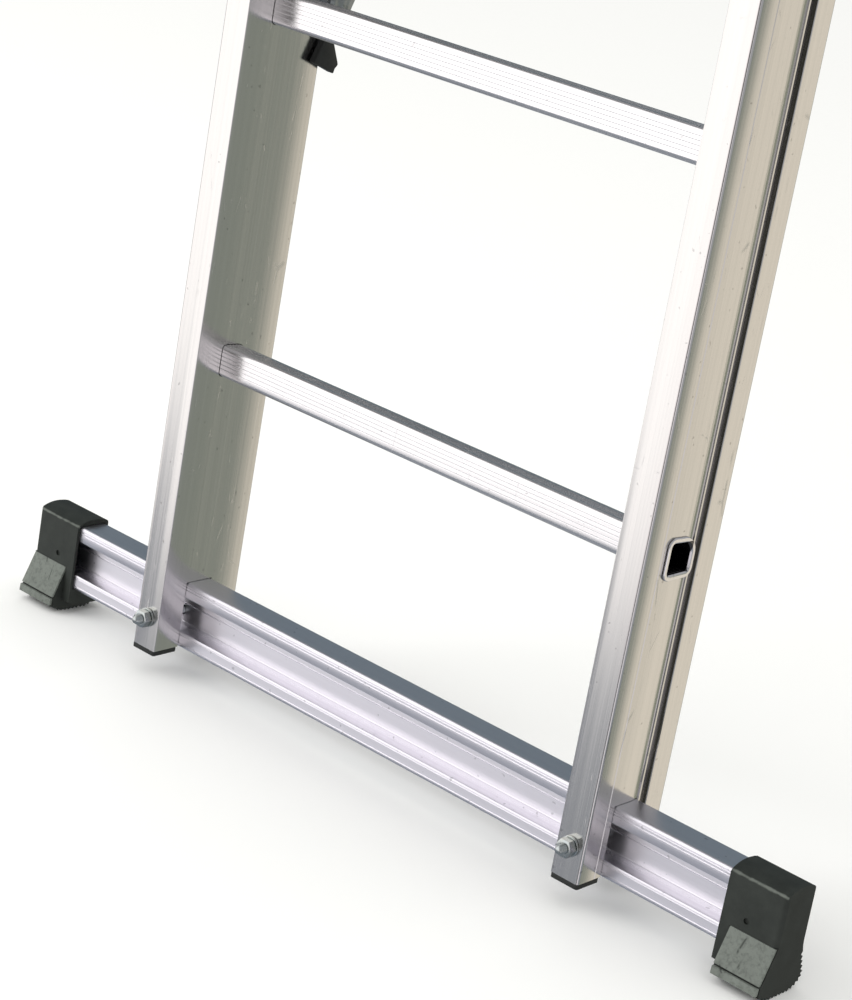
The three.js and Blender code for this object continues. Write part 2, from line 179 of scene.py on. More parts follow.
def settle(made):
    """Puts the result of an object's modifiers into its mesh and removes them."""
    bpy.context.view_layer.update()
    shown = made.evaluated_get(bpy.context.evaluated_depsgraph_get())
    data = bpy.data.meshes.new_from_object(shown)
    made.modifiers.clear()
    made.data = data
    return made


def combine(made, other, operation):
    """Cuts another object out of one, joins it on or keeps what they share, and removes the other."""
    step = made.modifiers.new(operation.title(), "BOOLEAN")
    step.operation = operation
    step.solver = "EXACT"
    step.object = other
    settle(made)
    bpy.data.objects.remove(other)
    return made


def soften(made, width, angle=32, segments=2):
    """Rounds every edge that turns by more than an angle."""
    step = made.modifiers.new("Bevel", "BEVEL")
    step.width = width * MM
    step.segments = segments
    step.limit_method = "ANGLE"
    step.angle_limit = math.radians(angle)
    return settle(made)


def frame_copy(name, node, bend=0.0, axis="X"):
    """A copy of a CAD node with its triangles merged, and the edges along one axis rounded."""
    mesh = bmesh.new()
    mesh.from_mesh(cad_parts[node].data)
    bmesh.ops.remove_doubles(mesh, verts=mesh.verts, dist=0.01 * MM)
    bmesh.ops.dissolve_limit(mesh, angle_limit=math.radians(1), verts=mesh.verts, edges=mesh.edges)
    if bend:
        direction = {"X": Vector((1, 0, 0)), "Z": Vector((0, 0, 1))}[axis]
        corners = [
            e
            for e in mesh.edges
            if abs((e.verts[1].co - e.verts[0].co).normalized().dot(direction)) > 0.99
            and len(e.link_faces) == 2
            and e.calc_face_angle() > math.radians(32)
        ]
        bmesh.ops.bevel(
            mesh, geom=corners, offset=bend * MM, segments=4, profile=0.5, affect="EDGES", clamp_overlap=True
        )
    return plain_object(name, mesh)


def finished(made, body, material, nodes=(), smooth=30):
    """Gives a piece its finish and shading, and puts it on its body in place of its CAD nodes."""
    made.data.materials.clear()
    made.data.materials.append(material)
    made.data.polygons.foreach_set("material_index", [0] * len(made.data.polygons))
    made.data.shade_smooth()
    made.data.set_sharp_from_angle(angle=math.radians(smooth))
    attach(made, body)
    if nodes:
        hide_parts(*nodes)
    return made


# ---------------------------------------------------------------- materials


def feed(tree, node, inputs):
    """Gives a node's inputs what they take: a socket to link or a value to set."""
    for key, value in inputs.items():
        if isinstance(value, bpy.types.NodeSocket):
            tree.links.new(value, node.inputs[key])
        else:
            node.inputs[key].default_value = value


def add(tree, kind, inputs=None, **settings):
    """Adds a node with its settings and its inputs."""
    node = tree.nodes.new(kind)
    for key, value in settings.items():
        setattr(node, key, value)
    feed(tree, node, inputs or {})
    return node


def first(tree, kind):
    """The first node of a type in a tree."""
    return next(node for node in tree.nodes if node.type == kind)


def start_material(name):
    """An empty node material: the material, its tree, its Principled shader and Object coordinates."""
    made = bpy.data.materials.new(name)
    made.use_nodes = True
    tree = made.node_tree
    tree.nodes.clear()
    shader = add(tree, "ShaderNodeBsdfPrincipled")
    add(tree, "ShaderNodeOutputMaterial", {"Surface": shader.outputs["BSDF"]})
    spot = add(tree, "ShaderNodeTexCoord").outputs["Object"]
    return made, tree, shader, spot


def per_mm(*sizes):
    """Pattern scales from the size of one step of the pattern along each axis, in millimetres."""
    return tuple(1 / (size * MM) for size in sizes)


def toned(colour, *shares):
    """A colour, made darker or paler by one share or by one for each of red, green and blue."""
    return (*(min(1.0, c * share) for c, share in zip(colour, shares * (3 // len(shares)))), 1)


def streaks(tree, spot, steps, detail=2.0):
    """Noise drawn out along the direction in which a section was pushed through its die."""
    drawn = add(tree, "ShaderNodeMapping", {"Vector": spot, "Scale": per_mm(*steps)}).outputs["Vector"]
    values = {"Vector": drawn, "Scale": 1.0, "Detail": detail, "Roughness": 0.6}
    return add(tree, "ShaderNodeTexNoise", values).outputs["Fac"]


def scratches(tree, spot, spacing, turn, width):
    """Straight fine scratches: the cell borders of a drawn-out pattern, broken up by a blotchy mask. They
    are about 0.1 mm wide on the real surface and are drawn some five times as wide, so that they show."""
    scale = per_mm(spacing, spacing, spacing * 5)
    across = add(tree, "ShaderNodeMapping", {"Vector": spot, "Rotation": turn, "Scale": scale})
    cells = {"Vector": across.outputs["Vector"], "Scale": 1.0}
    border = add(tree, "ShaderNodeTexVoronoi", cells, feature="DISTANCE_TO_EDGE").outputs["Distance"]
    line = {"Value": border, "From Min": 0.0, "From Max": width, "To Min": 1.0, "To Max": 0.0}
    blotch = {"Vector": spot, "Scale": 1 / (spacing * 0.6 * MM)}
    cloud = add(tree, "ShaderNodeTexNoise", blotch).outputs["Fac"]
    mask = {"Value": cloud, "From Min": 0.58, "From Max": 0.66}
    parts = [add(tree, "ShaderNodeMapRange", values).outputs["Result"] for values in (line, mask)]
    return add(tree, "ShaderNodeMath", {0: parts[0], 1: parts[1]}, operation="MULTIPLY").outputs[0]


def extruded_aluminium(name, along, colour, roughness):
    """Mill-finish extruded 6060 aluminium: a satin grey-white metal with faint die lines drawn along
    the section, and a few handling scratches. The lines are real at about 0.3 mm and are drawn three
    times as wide, so that they show."""
    made, tree, shader, spot = start_material(name)
    across, far = 0.9, 700
    steps = (far, across, across) if along == "X" else (across, across, far)
    lines = streaks(tree, spot, steps)
    bands = streaks(tree, spot, [step * 7 for step in steps], 1.0)
    marks = scratches(tree, spot, 46, (0.5, 0.2, 0.9), 0.012)
    nicks = scratches(tree, spot, 24, (1.1, 0.7, 0.1), 0.008)
    shades = {"Factor": bands, "A": toned(colour, 0.9), "B": toned(colour, 1.0)}
    drawn = add(tree, "ShaderNodeMix", shades, data_type="RGBA").outputs["Result"]
    pits = add(tree, "ShaderNodeTexNoise", {"Vector": spot, "Scale": 1 / (5 * MM), "Detail": 1.0})
    grime = {"Value": pits.outputs["Fac"], "From Min": 0.735, "From Max": 0.775, "To Max": 0.35}
    dirt = add(tree, "ShaderNodeMapRange", grime).outputs["Result"]
    shades = {"Factor": dirt, "A": drawn, "B": toned(colour, 0.25)}
    tint = add(tree, "ShaderNodeMix", shades, data_type="RGBA").outputs["Result"]
    worn = add(tree, "ShaderNodeMath", {0: marks, 1: nicks}, operation="MAXIMUM").outputs[0]
    satin = {"To Min": roughness - 0.04, "To Max": roughness + 0.05}
    satin |= {"Value": lines, "From Min": 0.3, "From Max": 0.7}
    rough = add(tree, "ShaderNodeMapRange", satin).outputs["Result"]
    scuffed = add(tree, "ShaderNodeMath", {0: worn, 1: 0.18, 2: rough}, operation="MULTIPLY_ADD").outputs[0]
    height = add(tree, "ShaderNodeMath", {0: worn, 1: -1.6, 2: lines}, operation="MULTIPLY_ADD").outputs[0]
    bump = add(tree, "ShaderNodeBump", {"Strength": 0.25, "Distance": 0.03 * MM, "Height": height})
    skin = {"Base Color": tint, "Roughness": scuffed, "Normal": bump.outputs["Normal"], "Metallic": 1.0}
    feed(tree, shader, skin)
    return made


def darken(made, across, middle, reach, share):
    """Paints shade into a material: darkens it within a box round a point in metres. The
    box's half sizes are in millimetres along the two axes named, and both sides of the ladder are
    treated alike."""
    tree = made.node_tree
    base = first(tree, "BSDF_PRINCIPLED").inputs["Base Color"]
    unshaded = base.links[0].from_socket
    spot = add(tree, "ShaderNodeTexCoord").outputs["Object"]
    parts = add(tree, "ShaderNodeSeparateXYZ", {"Vector": spot}).outputs
    inside = 1.0
    for axis, centre, half in zip(across, middle, reach):
        size = add(tree, "ShaderNodeMath", {0: parts[axis]}, operation="ABSOLUTE").outputs[0]
        near = {0: size if axis == "X" else parts[axis], 1: centre, 2: half * MM}
        here = add(tree, "ShaderNodeMath", near, operation="COMPARE").outputs[0]
        inside = add(tree, "ShaderNodeMath", {0: here, 1: inside}, operation="MULTIPLY").outputs[0]
    # Painted shade: the base colour is multiplied down inside the box.
    shades = {"Factor": inside, "A": unshaded, "B": (share, share, share, 1)}
    dark = add(tree, "ShaderNodeMix", shades, data_type="RGBA", blend_type="MULTIPLY").outputs["Result"]
    tree.links.new(dark, base)
    return made


def stile_aluminium(colour):
    """The stiles' extruded aluminium, with painted shade darkening the guide groove."""
    made = extruded_aluminium("Mill-finish extruded aluminium, stiles", "Z", colour, 0.16)
    groove = at(233.3, 60.4, 0)
    # Painted shade: the guide groove is darkened to 0.6 of the metal's colour.
    return darken(made, "XY", (groove.x, groove.y), (1.9, 3.8), 0.6)


def ribbed_rung_aluminium(colour, roughness):
    """Extruded aluminium rung: the same satin metal, with a fine cross knurl rolled into the tread at
    2 mm, and painted shade, near black, inside the lowest rung, which is open at its ends."""
    made = extruded_aluminium("Ribbed extruded aluminium", "X", colour, roughness)
    tree = made.node_tree
    smooth = first(tree, "BUMP").outputs["Normal"]
    place = add(tree, "ShaderNodeTexCoord").outputs
    x = add(tree, "ShaderNodeSeparateXYZ", {"Vector": place["Object"]}).outputs["X"]
    up = add(tree, "ShaderNodeSeparateXYZ", {"Vector": place["Normal"]}).outputs["Z"]
    level = {"Value": up, "From Min": 0.9, "From Max": 0.97}
    tread = add(tree, "ShaderNodeMapRange", level).outputs["Result"]
    wave = add(tree, "ShaderNodeMath", {0: x, 1: 2 * math.pi / (2.0 * MM)}, operation="MULTIPLY").outputs[0]
    knurl = add(tree, "ShaderNodeMath", {0: wave}, operation="SINE").outputs[0]
    cut = add(tree, "ShaderNodeMath", {0: knurl, 1: tread}, operation="MULTIPLY").outputs[0]
    relief = {"Strength": 0.8, "Distance": 0.25 * MM, "Height": cut, "Normal": smooth}
    rolled = add(tree, "ShaderNodeBump", relief).outputs["Normal"]
    feed(tree, first(tree, "BSDF_PRINCIPLED"), {"Normal": rolled})
    bore = at(0, 39.75, 245)
    # Painted shade: the inside of the lowest rung's open ends is darkened to 0.12 of its colour.
    return darken(made, "YZ", (bore.y, bore.z), (11.9, 11.8), 0.12)


def zinc_plated_steel(colour):
    """Bright zinc-plated steel: a sharp silvery shine with a faint yellow and blue cast in patches. The
    plating's grain is real at about 0.1 mm and is drawn at 0.6 mm, so that it shows."""
    made, tree, shader, spot = start_material("Bright zinc-plated steel")
    cast = {"Vector": spot, "Scale": 1 / (5 * MM), "Detail": 2.0}
    patch = add(tree, "ShaderNodeTexNoise", cast).outputs["Fac"]
    shades = {"Factor": patch, "A": toned(colour, 1.0, 0.95, 0.82), "B": toned(colour, 0.9, 0.96, 1.0)}
    tint = add(tree, "ShaderNodeMix", shades, data_type="RGBA").outputs["Result"]
    crystals = {"Vector": spot, "Scale": 1 / (0.6 * MM), "Detail": 3.0}
    grain = add(tree, "ShaderNodeTexNoise", crystals).outputs["Fac"]
    shine = {"Value": grain, "From Min": 0.3, "From Max": 0.7, "To Min": 0.16, "To Max": 0.3}
    rough = add(tree, "ShaderNodeMapRange", shine).outputs["Result"]
    bump = add(tree, "ShaderNodeBump", {"Strength": 0.2, "Distance": 0.03 * MM, "Height": grain})
    skin = {"Base Color": tint, "Roughness": rough, "Normal": bump.outputs["Normal"], "Metallic": 1.0}
    feed(tree, shader, skin)
    return made


def galvanised_steel(colour):
    """Hot-dip galvanised pressed steel: a dull blue-grey with crystal spangle about 7 mm across."""
    made, tree, shader, spot = start_material("Galvanised pressed steel")
    cells = add(tree, "ShaderNodeTexVoronoi", {"Vector": spot, "Scale": 1 / (7 * MM)})
    shade = add(tree, "ShaderNodeSeparateColor", {"Color": cells.outputs["Color"]}).outputs["Red"]
    shades = {"Factor": shade, "A": toned(colour, 0.72), "B": toned(colour, 1.0)}
    tint = add(tree, "ShaderNodeMix", shades, data_type="RGBA").outputs["Result"]
    rough = add(tree, "ShaderNodeMapRange", {"Value": shade, "To Min": 0.32, "To Max": 0.5}).outputs["Result"]
    feed(tree, shader, {"Base Color": tint, "Roughness": rough, "Metallic": 1.0})
    return made


def moulded(name, colour, roughness, grain, dust):
    """A moulded rubber or plastic: a near-black body with a fine pebbled skin and paler dusty patches.
    The mould's grain is real at about 0.3 mm, and is drawn at the size given, so that it shows."""
    made, tree, shader, spot = start_material(name)
    patches = {"Vector": spot, "Scale": 1 / (14 * MM), "Detail": 6.0, "Roughness": 0.65}
    blotch = add(tree, "ShaderNodeTexNoise", patches).outputs["Fac"]
    settled = {"Value": blotch, "From Min": 0.35, "From Max": 0.75, "To Max": dust}
    share = add(tree, "ShaderNodeMapRange", settled).outputs["Result"]
    pale = (*(min(1.0, c * 2.4 + 0.02) for c in colour), 1)
    shades = {"Factor": share, "A": toned(colour, 1.0), "B": pale}
    tint = add(tree, "ShaderNodeMix", shades, data_type="RGBA").outputs["Result"]
    skin = add(tree, "ShaderNodeTexNoise", {"Vector": spot, "Scale": 1 / (grain * MM), "Detail": 3.0})
    matt = {"Value": blotch, "To Min": roughness - 0.08, "To Max": roughness + 0.1}
    rough = add(tree, "ShaderNodeMapRange", matt).outputs["Result"]
    relief = {"Strength": 0.5, "Distance": 0.12 * MM, "Height": skin.outputs["Fac"]}
    bump = add(tree, "ShaderNodeBump", relief).outputs["Normal"]
    feed(tree, shader, {"Base Color": tint, "Roughness": rough, "Normal": bump, "Specular IOR Level": 0.4})
    return made


def shoe_rubber(colour, lit_and_rubbed):
    """Moulded black EPDM rubber, green-black and dull, with a pale stripe along the front top edge that is
    painted highlight and wear.
    """
    made = moulded("Moulded black rubber", colour, 0.62, 0.9, 0.3)
    tree = made.node_tree
    below = first(tree, "MIX").outputs["Result"]
    edge = at(0, *SHOE_RIM)
    spot = add(tree, "ShaderNodeTexCoord").outputs["Object"]
    away = add(tree, "ShaderNodeVectorMath", {0: spot, 1: edge}, operation="SUBTRACT").outputs["Vector"]
    flat = add(tree, "ShaderNodeVectorMath", {0: away, 1: (0, 1, 1)}, operation="MULTIPLY").outputs["Vector"]
    reach = add(tree, "ShaderNodeVectorMath", {0: flat}, operation="LENGTH").outputs["Value"]
    grain = add(tree, "ShaderNodeTexNoise", {"Vector": spot, "Scale": 1 / (6 * MM), "Detail": 4.0})
    uneven = {0: grain.outputs["Fac"], 1: 2.2 * MM, 2: reach}
    loose = add(tree, "ShaderNodeMath", uneven, operation="MULTIPLY_ADD").outputs[0]
    # Painted highlight and wear: a pale stripe mixed into the colour along the front top edge.
    fade = {"Value": loose, "From Min": 1.5 * MM, "From Max": 2.5 * MM, "To Min": 0.6, "To Max": 0.0}
    lit_and_rubbed_share = add(tree, "ShaderNodeMapRange", fade).outputs["Result"]
    shades = {"Factor": lit_and_rubbed_share, "A": below, "B": toned(lit_and_rubbed, 1.0)}
    tint = add(tree, "ShaderNodeMix", shades, data_type="RGBA").outputs["Result"]
    feed(tree, first(tree, "BSDF_PRINCIPLED"), {"Base Color": tint})
    return made


def tread_rubber(colour):
    """Grey ribbed tread rubber: a paler, chalky grey with dark scuffs."""
    made = moulded("Grey tread rubber", colour, 0.78, 1.1, 0.15)
    tree = made.node_tree
    below = first(tree, "MIX").outputs["Result"]
    spot = add(tree, "ShaderNodeTexCoord").outputs["Object"]
    marks = scratches(tree, spot, 15, (0.3, 0.9, 0.4), 0.03)
    fine = {"Vector": spot, "Scale": 1 / (3.5 * MM), "Detail": 5.0, "Roughness": 0.7}
    speck = add(tree, "ShaderNodeTexNoise", fine).outputs["Fac"]
    smears = {"Value": speck, "From Min": 0.45, "From Max": 0.68, "To Max": 0.5}
    spots = add(tree, "ShaderNodeMapRange", smears).outputs["Result"]
    dirt = add(tree, "ShaderNodeMath", {0: marks, 1: spots}, operation="MAXIMUM").outputs[0]
    shades = {"Factor": dirt, "A": below, "B": toned(colour, 0.25)}
    tint = add(tree, "ShaderNodeMix", shades, data_type="RGBA").outputs["Result"]
    feed(tree, first(tree, "BSDF_PRINCIPLED"), {"Base Color": tint})
    return made


# ---------------------------------------------------------------- what a user would change


class LadderFinishes(bpy.types.PropertyGroup):
    """The colours of the ladder's materials."""

    aluminium: colour_prop("Aluminium", "#e3e0dd", "Extruded stiles and stabiliser bar")
    bar: colour_prop("Bar", "#f4f1f7", "Extruded stabiliser bar")
    rung: colour_prop("Rungs", "#f8f5f5", "Ribbed rungs")
    zinc: colour_prop("Zinc plating", "#bfc3c5", "Bolts, nuts, washers and pins")
    steel: colour_prop("Galvanised steel", "#b4b8ba", "Guides, brackets and hooks")
    rubber: colour_prop("Shoe rubber", "#232723", "Shoes and wall caps")
    # Painted highlight and wear: the colour of the pale stripe along the shoes' front top edge.
    lit_and_rubbed: colour_prop("Lit and rubbed edge", "#7d827b", "Shoe rubber where it is rubbed")
    tread: colour_prop("Tread rubber", "#70756f", "Pads let into the shoes")
    plastic: colour_prop("Plastic", "#1b1d1b", "Caps, travel stops and lift locks")


class LadderStileSizes(bpy.types.PropertyGroup):
    """The section of the stiles."""

    outer_corner: length_prop("Outer corner", 2.5, "Radius of the front corner on the outer side")
    inner_corner: length_prop("Inner corner", 0.8, "Radius of the front corner on the inner side")
    rear_corner: length_prop("Rear corner", 1.5, "Radius of both rear corners")
    wall: length_prop("Wall", 2.0, "Thickness of the section's wall")
    scribe: length_prop("Scribe line", 19.3, "Distance of the scribe line from the stile's front")
    scribe_width: length_prop("Scribe width", 0.9, "Width of the scribe line")
    scribe_depth: length_prop("Scribe depth", 0.45, "Depth of the scribe line")
    groove_from: length_prop("Groove start", 57.0, "Front wall of the base stile's guide groove")
    groove_to: length_prop("Groove end", 64.0, "Rear wall of the base stile's guide groove")
    groove_depth: length_prop("Groove depth", 4.0, "Depth of the guide groove")
    slope: length_prop("Slope", 9.5, "Width of the hollow that leads into the groove")
    slope_depth: length_prop("Slope depth", 1.5, "How far the hollow sinks before the groove")
    fly_groove: length_prop("Fly groove", 6.0, "Distance of the fly stile's groove from its front")
    fly_groove_width: length_prop("Fly groove width", 8.0, "Width of the fly stile's groove")


class LadderRungSizes(bpy.types.PropertyGroup):
    """The section of the rungs."""

    wall: length_prop("Wall", 1.5, "Thickness of the tube's wall")
    corner: length_prop("Corner", 4.0, "Radius of the front and bottom corners")
    rear_corner: length_prop("Rear corner", 11.0, "Radius of the top rear corner")
    rib_pitch: length_prop("Rib pitch", 3.3, "Distance between the ribs on the front")
    rib_width: length_prop("Rib line width", 0.7, "Width of the line between two ribs")
    rib_depth: length_prop("Rib depth", 0.11, "Depth of the line between two ribs")
    tread_width: length_prop("Tread line width", 1.1, "Width of the lines along the tread")
    tread_depth: length_prop("Tread depth", 0.4, "Depth of the lines along the tread")
    gap: length_prop("Gap", 0.45, "Gap between a rung and the hole that it enters")
    lip: length_prop("Lip", 3.0, "How far the lowest rung's flared end is turned over")


class LadderBarSizes(bpy.types.PropertyGroup):
    """The section of the stabiliser bar."""

    corner: length_prop("Corner", 2.5, "Radius of the bar's outer corners")
    wall: length_prop("Wall", 2.0, "Thickness of the section's wall")
    channel_from: length_prop("Channel bottom", 13.5, "Height of the channel's lower edge")
    channel_to: length_prop("Channel top", 43.0, "Height of the channel's upper edge")
    channel_depth: length_prop("Channel depth", 12.0, "Depth of the channel")
    line_width: length_prop("Line width", 0.9, "Width of the lines scored along the bar")
    line_depth: length_prop("Line depth", 0.4, "Depth of the lines scored along the bar")
    fit: length_prop("Fit", 0.3, "Gap round the bar in its notches and in the shoes' sockets")


class LadderShoeSizes(bpy.types.PropertyGroup):
    """The shoes and the pads let into them."""

    edge: length_prop("Edge", 0.9, "Radius of the moulded edges")
    dimple: length_prop("Dimple", 2.3, "Radius of the dimple on the front")
    tooth_pitch: length_prop("Tooth pitch", 4.2, "Distance between the teeth of the sole")
    tooth_height: length_prop("Tooth height", 2.1, "Height of the teeth of the sole")
    pad_groove: length_prop("Pad groove", 1.6, "Width of the groove across the pad")


class LadderHardwareSizes(bpy.types.PropertyGroup):
    """Bolts, nuts and rivets."""

    bolt: length_prop("Bolt", 4.0, "Radius of the bolt's shank")
    bolt_head: length_prop("Bolt head", 5.3, "Height of the bolt's head")
    bolt_hole: length_prop("Bolt hole", 4.4, "Radius of the bolt holes in the stiles and the bar")
    nut_width: length_prop("Nut width", 13.0, "Width of the nut and the bolt's head across their flats")
    nut_bore: length_prop("Nut bore", 4.1, "Radius of the nut's bore")
    washer_bore: length_prop("Washer bore", 4.3, "Radius of the washer's hole")
    thread_pitch: length_prop("Thread pitch", 1.25, "Pitch of the bolt's thread")
    thread_depth: length_prop("Thread depth", 0.45, "Depth of the bolt's thread")
    rivet_radius: length_prop("Rivet radius", 4.2, "Radius of a rivet's head")
    rivet_height: length_prop("Rivet height", 1.7, "Height of a rivet's head")
    rivet_pitch: length_prop("Rivet pitch", 30.0, "Distance between two rivets of a guide")


class LadderStage(bpy.types.PropertyGroup):
    """The camera, light and floor."""

    lens: bpy.props.FloatProperty(name="Lens", description="Focal length", default=98.07, unit="CAMERA")
    roll: bpy.props.FloatProperty(
        name="Roll", description="How far the camera is turned about its own line of sight",
        default=math.radians(10.19), subtype="ANGLE",
    )
    floor: colour_prop("Floor", "#fbfbf9", "Pale matt floor")
    key: bpy.props.FloatProperty(
        name="Key light", description="Power of the key light", default=60, unit="POWER"
    )


GROUPS = {
    "ladder_finishes": LadderFinishes,
    "ladder_stiles": LadderStileSizes,
    "ladder_rungs": LadderRungSizes,
    "ladder_bar": LadderBarSizes,
    "ladder_shoes": LadderShoeSizes,
    "ladder_hardware": LadderHardwareSizes,
    "ladder_stage": LadderStage,
}


def group(context, name):
    """The lengths of one of the ladder's property groups, in millimetres."""
    values = getattr(context.scene, "ladder_" + name)
    lengths = [p.identifier for p in values.bl_rna.properties if getattr(p, "unit", "") == "LENGTH"]
    return SimpleNamespace(**{key: getattr(values, key) / MM for key in lengths})


# ---------------------------------------------------------------- trees that repeat a shape


def node_group(name, inputs):
    """An empty Geometry Nodes tree with named inputs, and its input node's sockets."""
    tree = bpy.data.node_groups.new(name, "GeometryNodeTree")
    for label, kind in {"Geometry": "NodeSocketGeometry", **inputs, "Material": "NodeSocketMaterial"}.items():
        tree.interface.new_socket(name=label, in_out="INPUT", socket_type=kind)
    tree.interface.new_socket(name="Geometry", in_out="OUTPUT", socket_type="NodeSocketGeometry")
    return tree, add(tree, "NodeGroupInput").outputs


def close_group(tree, instances, material):
    """Ends a tree in Realize Instances and Set Material."""
    real = add(tree, "GeometryNodeRealizeInstances", {"Geometry": instances})
    coated = add(
        tree, "GeometryNodeSetMaterial", {"Geometry": real.outputs["Geometry"], "Material": material}
    )
    add(tree, "NodeGroupOutput", {"Geometry": coated.outputs["Geometry"]})
    return tree


def repeat_upwards_tree():
    """Copies a piece upwards at an even pitch."""
    tree, given = node_group("Repeat upwards", {"Count": "NodeSocketInt", "Pitch": "NodeSocketFloat"})
    step = add(tree, "ShaderNodeCombineXYZ", {"Z": given["Pitch"]})
    line = add(
        tree,
        "GeometryNodeMeshLine",
        {"Count": given["Count"], "Offset": step.outputs["Vector"]},
        mode="OFFSET",
    )
    copies = add(
        tree, "GeometryNodeInstanceOnPoints", {"Points": line.outputs["Mesh"], "Instance": given["Geometry"]}
    )
    return close_group(tree, copies.outputs["Instances"], given["Material"])


def serration_tree():
    """Lays diamond-shaped teeth, each as wide as the sole, along a line in the YZ plane."""
    tree, given = node_group(
        "Serrations", {"Pitch": "NodeSocketFloat", "Height": "NodeSocketFloat", "Width": "NodeSocketFloat"}
    )
    line = add(tree, "GeometryNodeMeshToCurve", {"Mesh": given["Geometry"]})
    even = add(
        tree,
        "GeometryNodeResampleCurve",
        {"Curve": line.outputs["Curve"], "Length": given["Pitch"]},
        mode="LENGTH",
    )
    run = add(
        tree, "ShaderNodeSeparateXYZ", {"Vector": add(tree, "GeometryNodeInputTangent").outputs["Tangent"]}
    )
    lean = add(tree, "ShaderNodeMath", {0: run.outputs["Z"], 1: run.outputs["Y"]}, operation="ARCTAN2")
    turn = add(tree, "ShaderNodeCombineXYZ", {"X": lean.outputs[0]})
    tooth = add(
        tree,
        "GeometryNodeMeshCylinder",
        {"Vertices": 4, "Radius": given["Height"], "Depth": given["Width"]},
    )
    laid = add(
        tree,
        "GeometryNodeTransform",
        {"Geometry": tooth.outputs["Mesh"], "Rotation": (0, math.pi / 2, 0)},
    )
    teeth = add(
        tree,
        "GeometryNodeInstanceOnPoints",
        {
            "Points": even.outputs["Curve"],
            "Instance": laid.outputs["Geometry"],
            "Rotation": turn.outputs["Vector"],
        },
    )
    return close_group(tree, teeth.outputs["Instances"], given["Material"])


def rivet_tree():
    """Sets a domed head on every point, turned to the direction kept on the point as "facing"."""
    tree, given = node_group("Rivets", {"Radius": "NodeSocketFloat", "Height": "NodeSocketFloat"})
    ball = add(tree, "GeometryNodeMeshUVSphere", {"Segments": 24, "Rings": 12, "Radius": 1.0})
    across = given["Radius"]
    size = add(tree, "ShaderNodeCombineXYZ", {"X": across, "Y": across, "Z": given["Height"]})
    head = add(
        tree, "GeometryNodeTransform", {"Geometry": ball.outputs["Mesh"], "Scale": size.outputs["Vector"]}
    )
    facing = add(tree, "GeometryNodeInputNamedAttribute", {"Name": "facing"}, data_type="FLOAT_VECTOR")
    turn = add(tree, "FunctionNodeAlignRotationToVector", {"Vector": facing.outputs["Attribute"]}, axis="Z")
    heads = add(
        tree,
        "GeometryNodeInstanceOnPoints",
        {
            "Points": given["Geometry"],
            "Instance": head.outputs["Geometry"],
            "Rotation": turn.outputs["Rotation"],
        },
    )
    return close_group(tree, heads.outputs["Instances"], given["Material"])


def rivets(name, tree, spots, s):
    """Rivets on both sides of the ladder, from the places of those on the right side."""
    places = [(side * x, y, z) for x, y, z in spots for side in (-1, 1)]
    data = bpy.data.meshes.new(name)
    data.from_pydata([at(*place) for place in places], [], [])
    facing = data.attributes.new("facing", "FLOAT_VECTOR", "POINT")
    for item, place in zip(facing.data, places):
        item.vector = (math.copysign(1, place[0]), 0, 0)
    made = bpy.data.objects.new(name, data)
    bpy.context.scene.collection.objects.link(made)
    values = {"Radius": s.rivet_radius * MM, "Height": s.rivet_height * MM, "Material": finish("zinc")}
    return grown(made, tree, values)


def grown(made, tree, values):
    """Runs a tree on an object and keeps its result as the object's plain mesh."""
    step = made.modifiers.new(tree.name, "NODES")
    step.node_group = tree
    for socket in tree.interface.items_tree:
        if socket.in_out == "INPUT" and socket.name in values:
            step[socket.identifier] = values[socket.name]
    return settle(made)


# ---------------------------------------------------------------- finishes and the base's parts

FINISHES = {
    "stile": lambda look: stile_aluminium(look.aluminium),
    "bar": lambda look: extruded_aluminium("Mill-finish extruded aluminium, bar", "X", look.bar, 0.34),
    "rung": lambda look: ribbed_rung_aluminium(look.rung, 0.2),
    "zinc": lambda look: zinc_plated_steel(look.zinc),
    "steel": lambda look: galvanised_steel(look.steel),
    "rubber": lambda look: shoe_rubber(look.rubber, look.lit_and_rubbed),
    "tread": lambda look: tread_rubber(look.tread),
    "plastic": lambda look: moulded("Moulded black plastic", look.plastic, 0.5, 0.7, 0.2),
}


def finish(key):
    """One of the ladder's materials, made when it is first asked for."""
    for made in bpy.data.materials:
        if made.get("finish") == key:
            return made
    made = FINISHES[key](bpy.context.scene.ladder_finishes)
    made["finish"] = key
    return made


def give(made, body, key, nodes=(), smooth=30):
    """Finishes a piece in the material that its key names."""
    return finished(made, body, finish(key), nodes, smooth)


# The sections' places, from the CAD.
STILE_LOW, STILE_HIGH = extent("base_stile_right")
FLY_LOW, FLY_HIGH = extent("fly_stile_right")
BAR_LOW, BAR_HIGH = extent("stabiliser_bar")
RUNG_1_LOW, RUNG_1_HIGH = extent("base_rung_1")
RUNG_2_LOW, RUNG_2_HIGH = extent("base_rung_2")
RUNG_3_LOW, RUNG_3_HIGH = extent("base_rung_3")
FLY_RUNG_LOW, FLY_RUNG_HIGH = extent("fly_rung_1")
BOLT_LOW, BOLT_HIGH = extent("bar_bolt_right")
SHOE_LOW, SHOE_HIGH = extent("shoe_right")
RUNG_PITCH = RUNG_3_LOW.z - RUNG_2_LOW.z
RUNG_MIDDLE = (RUNG_1_LOW.z + RUNG_1_HIGH.z) / 2
FLY_RUNG_MIDDLE = (FLY_RUNG_LOW.z + FLY_RUNG_HIGH.z) / 2
RUNG_Y = (RUNG_1_LOW.y + RUNG_1_HIGH.y) / 2
FLY_RUNG_Y = (FLY_RUNG_LOW.y + FLY_RUNG_HIGH.y) / 2
BASE_RUNGS = 8
FLY_RUNGS = 7
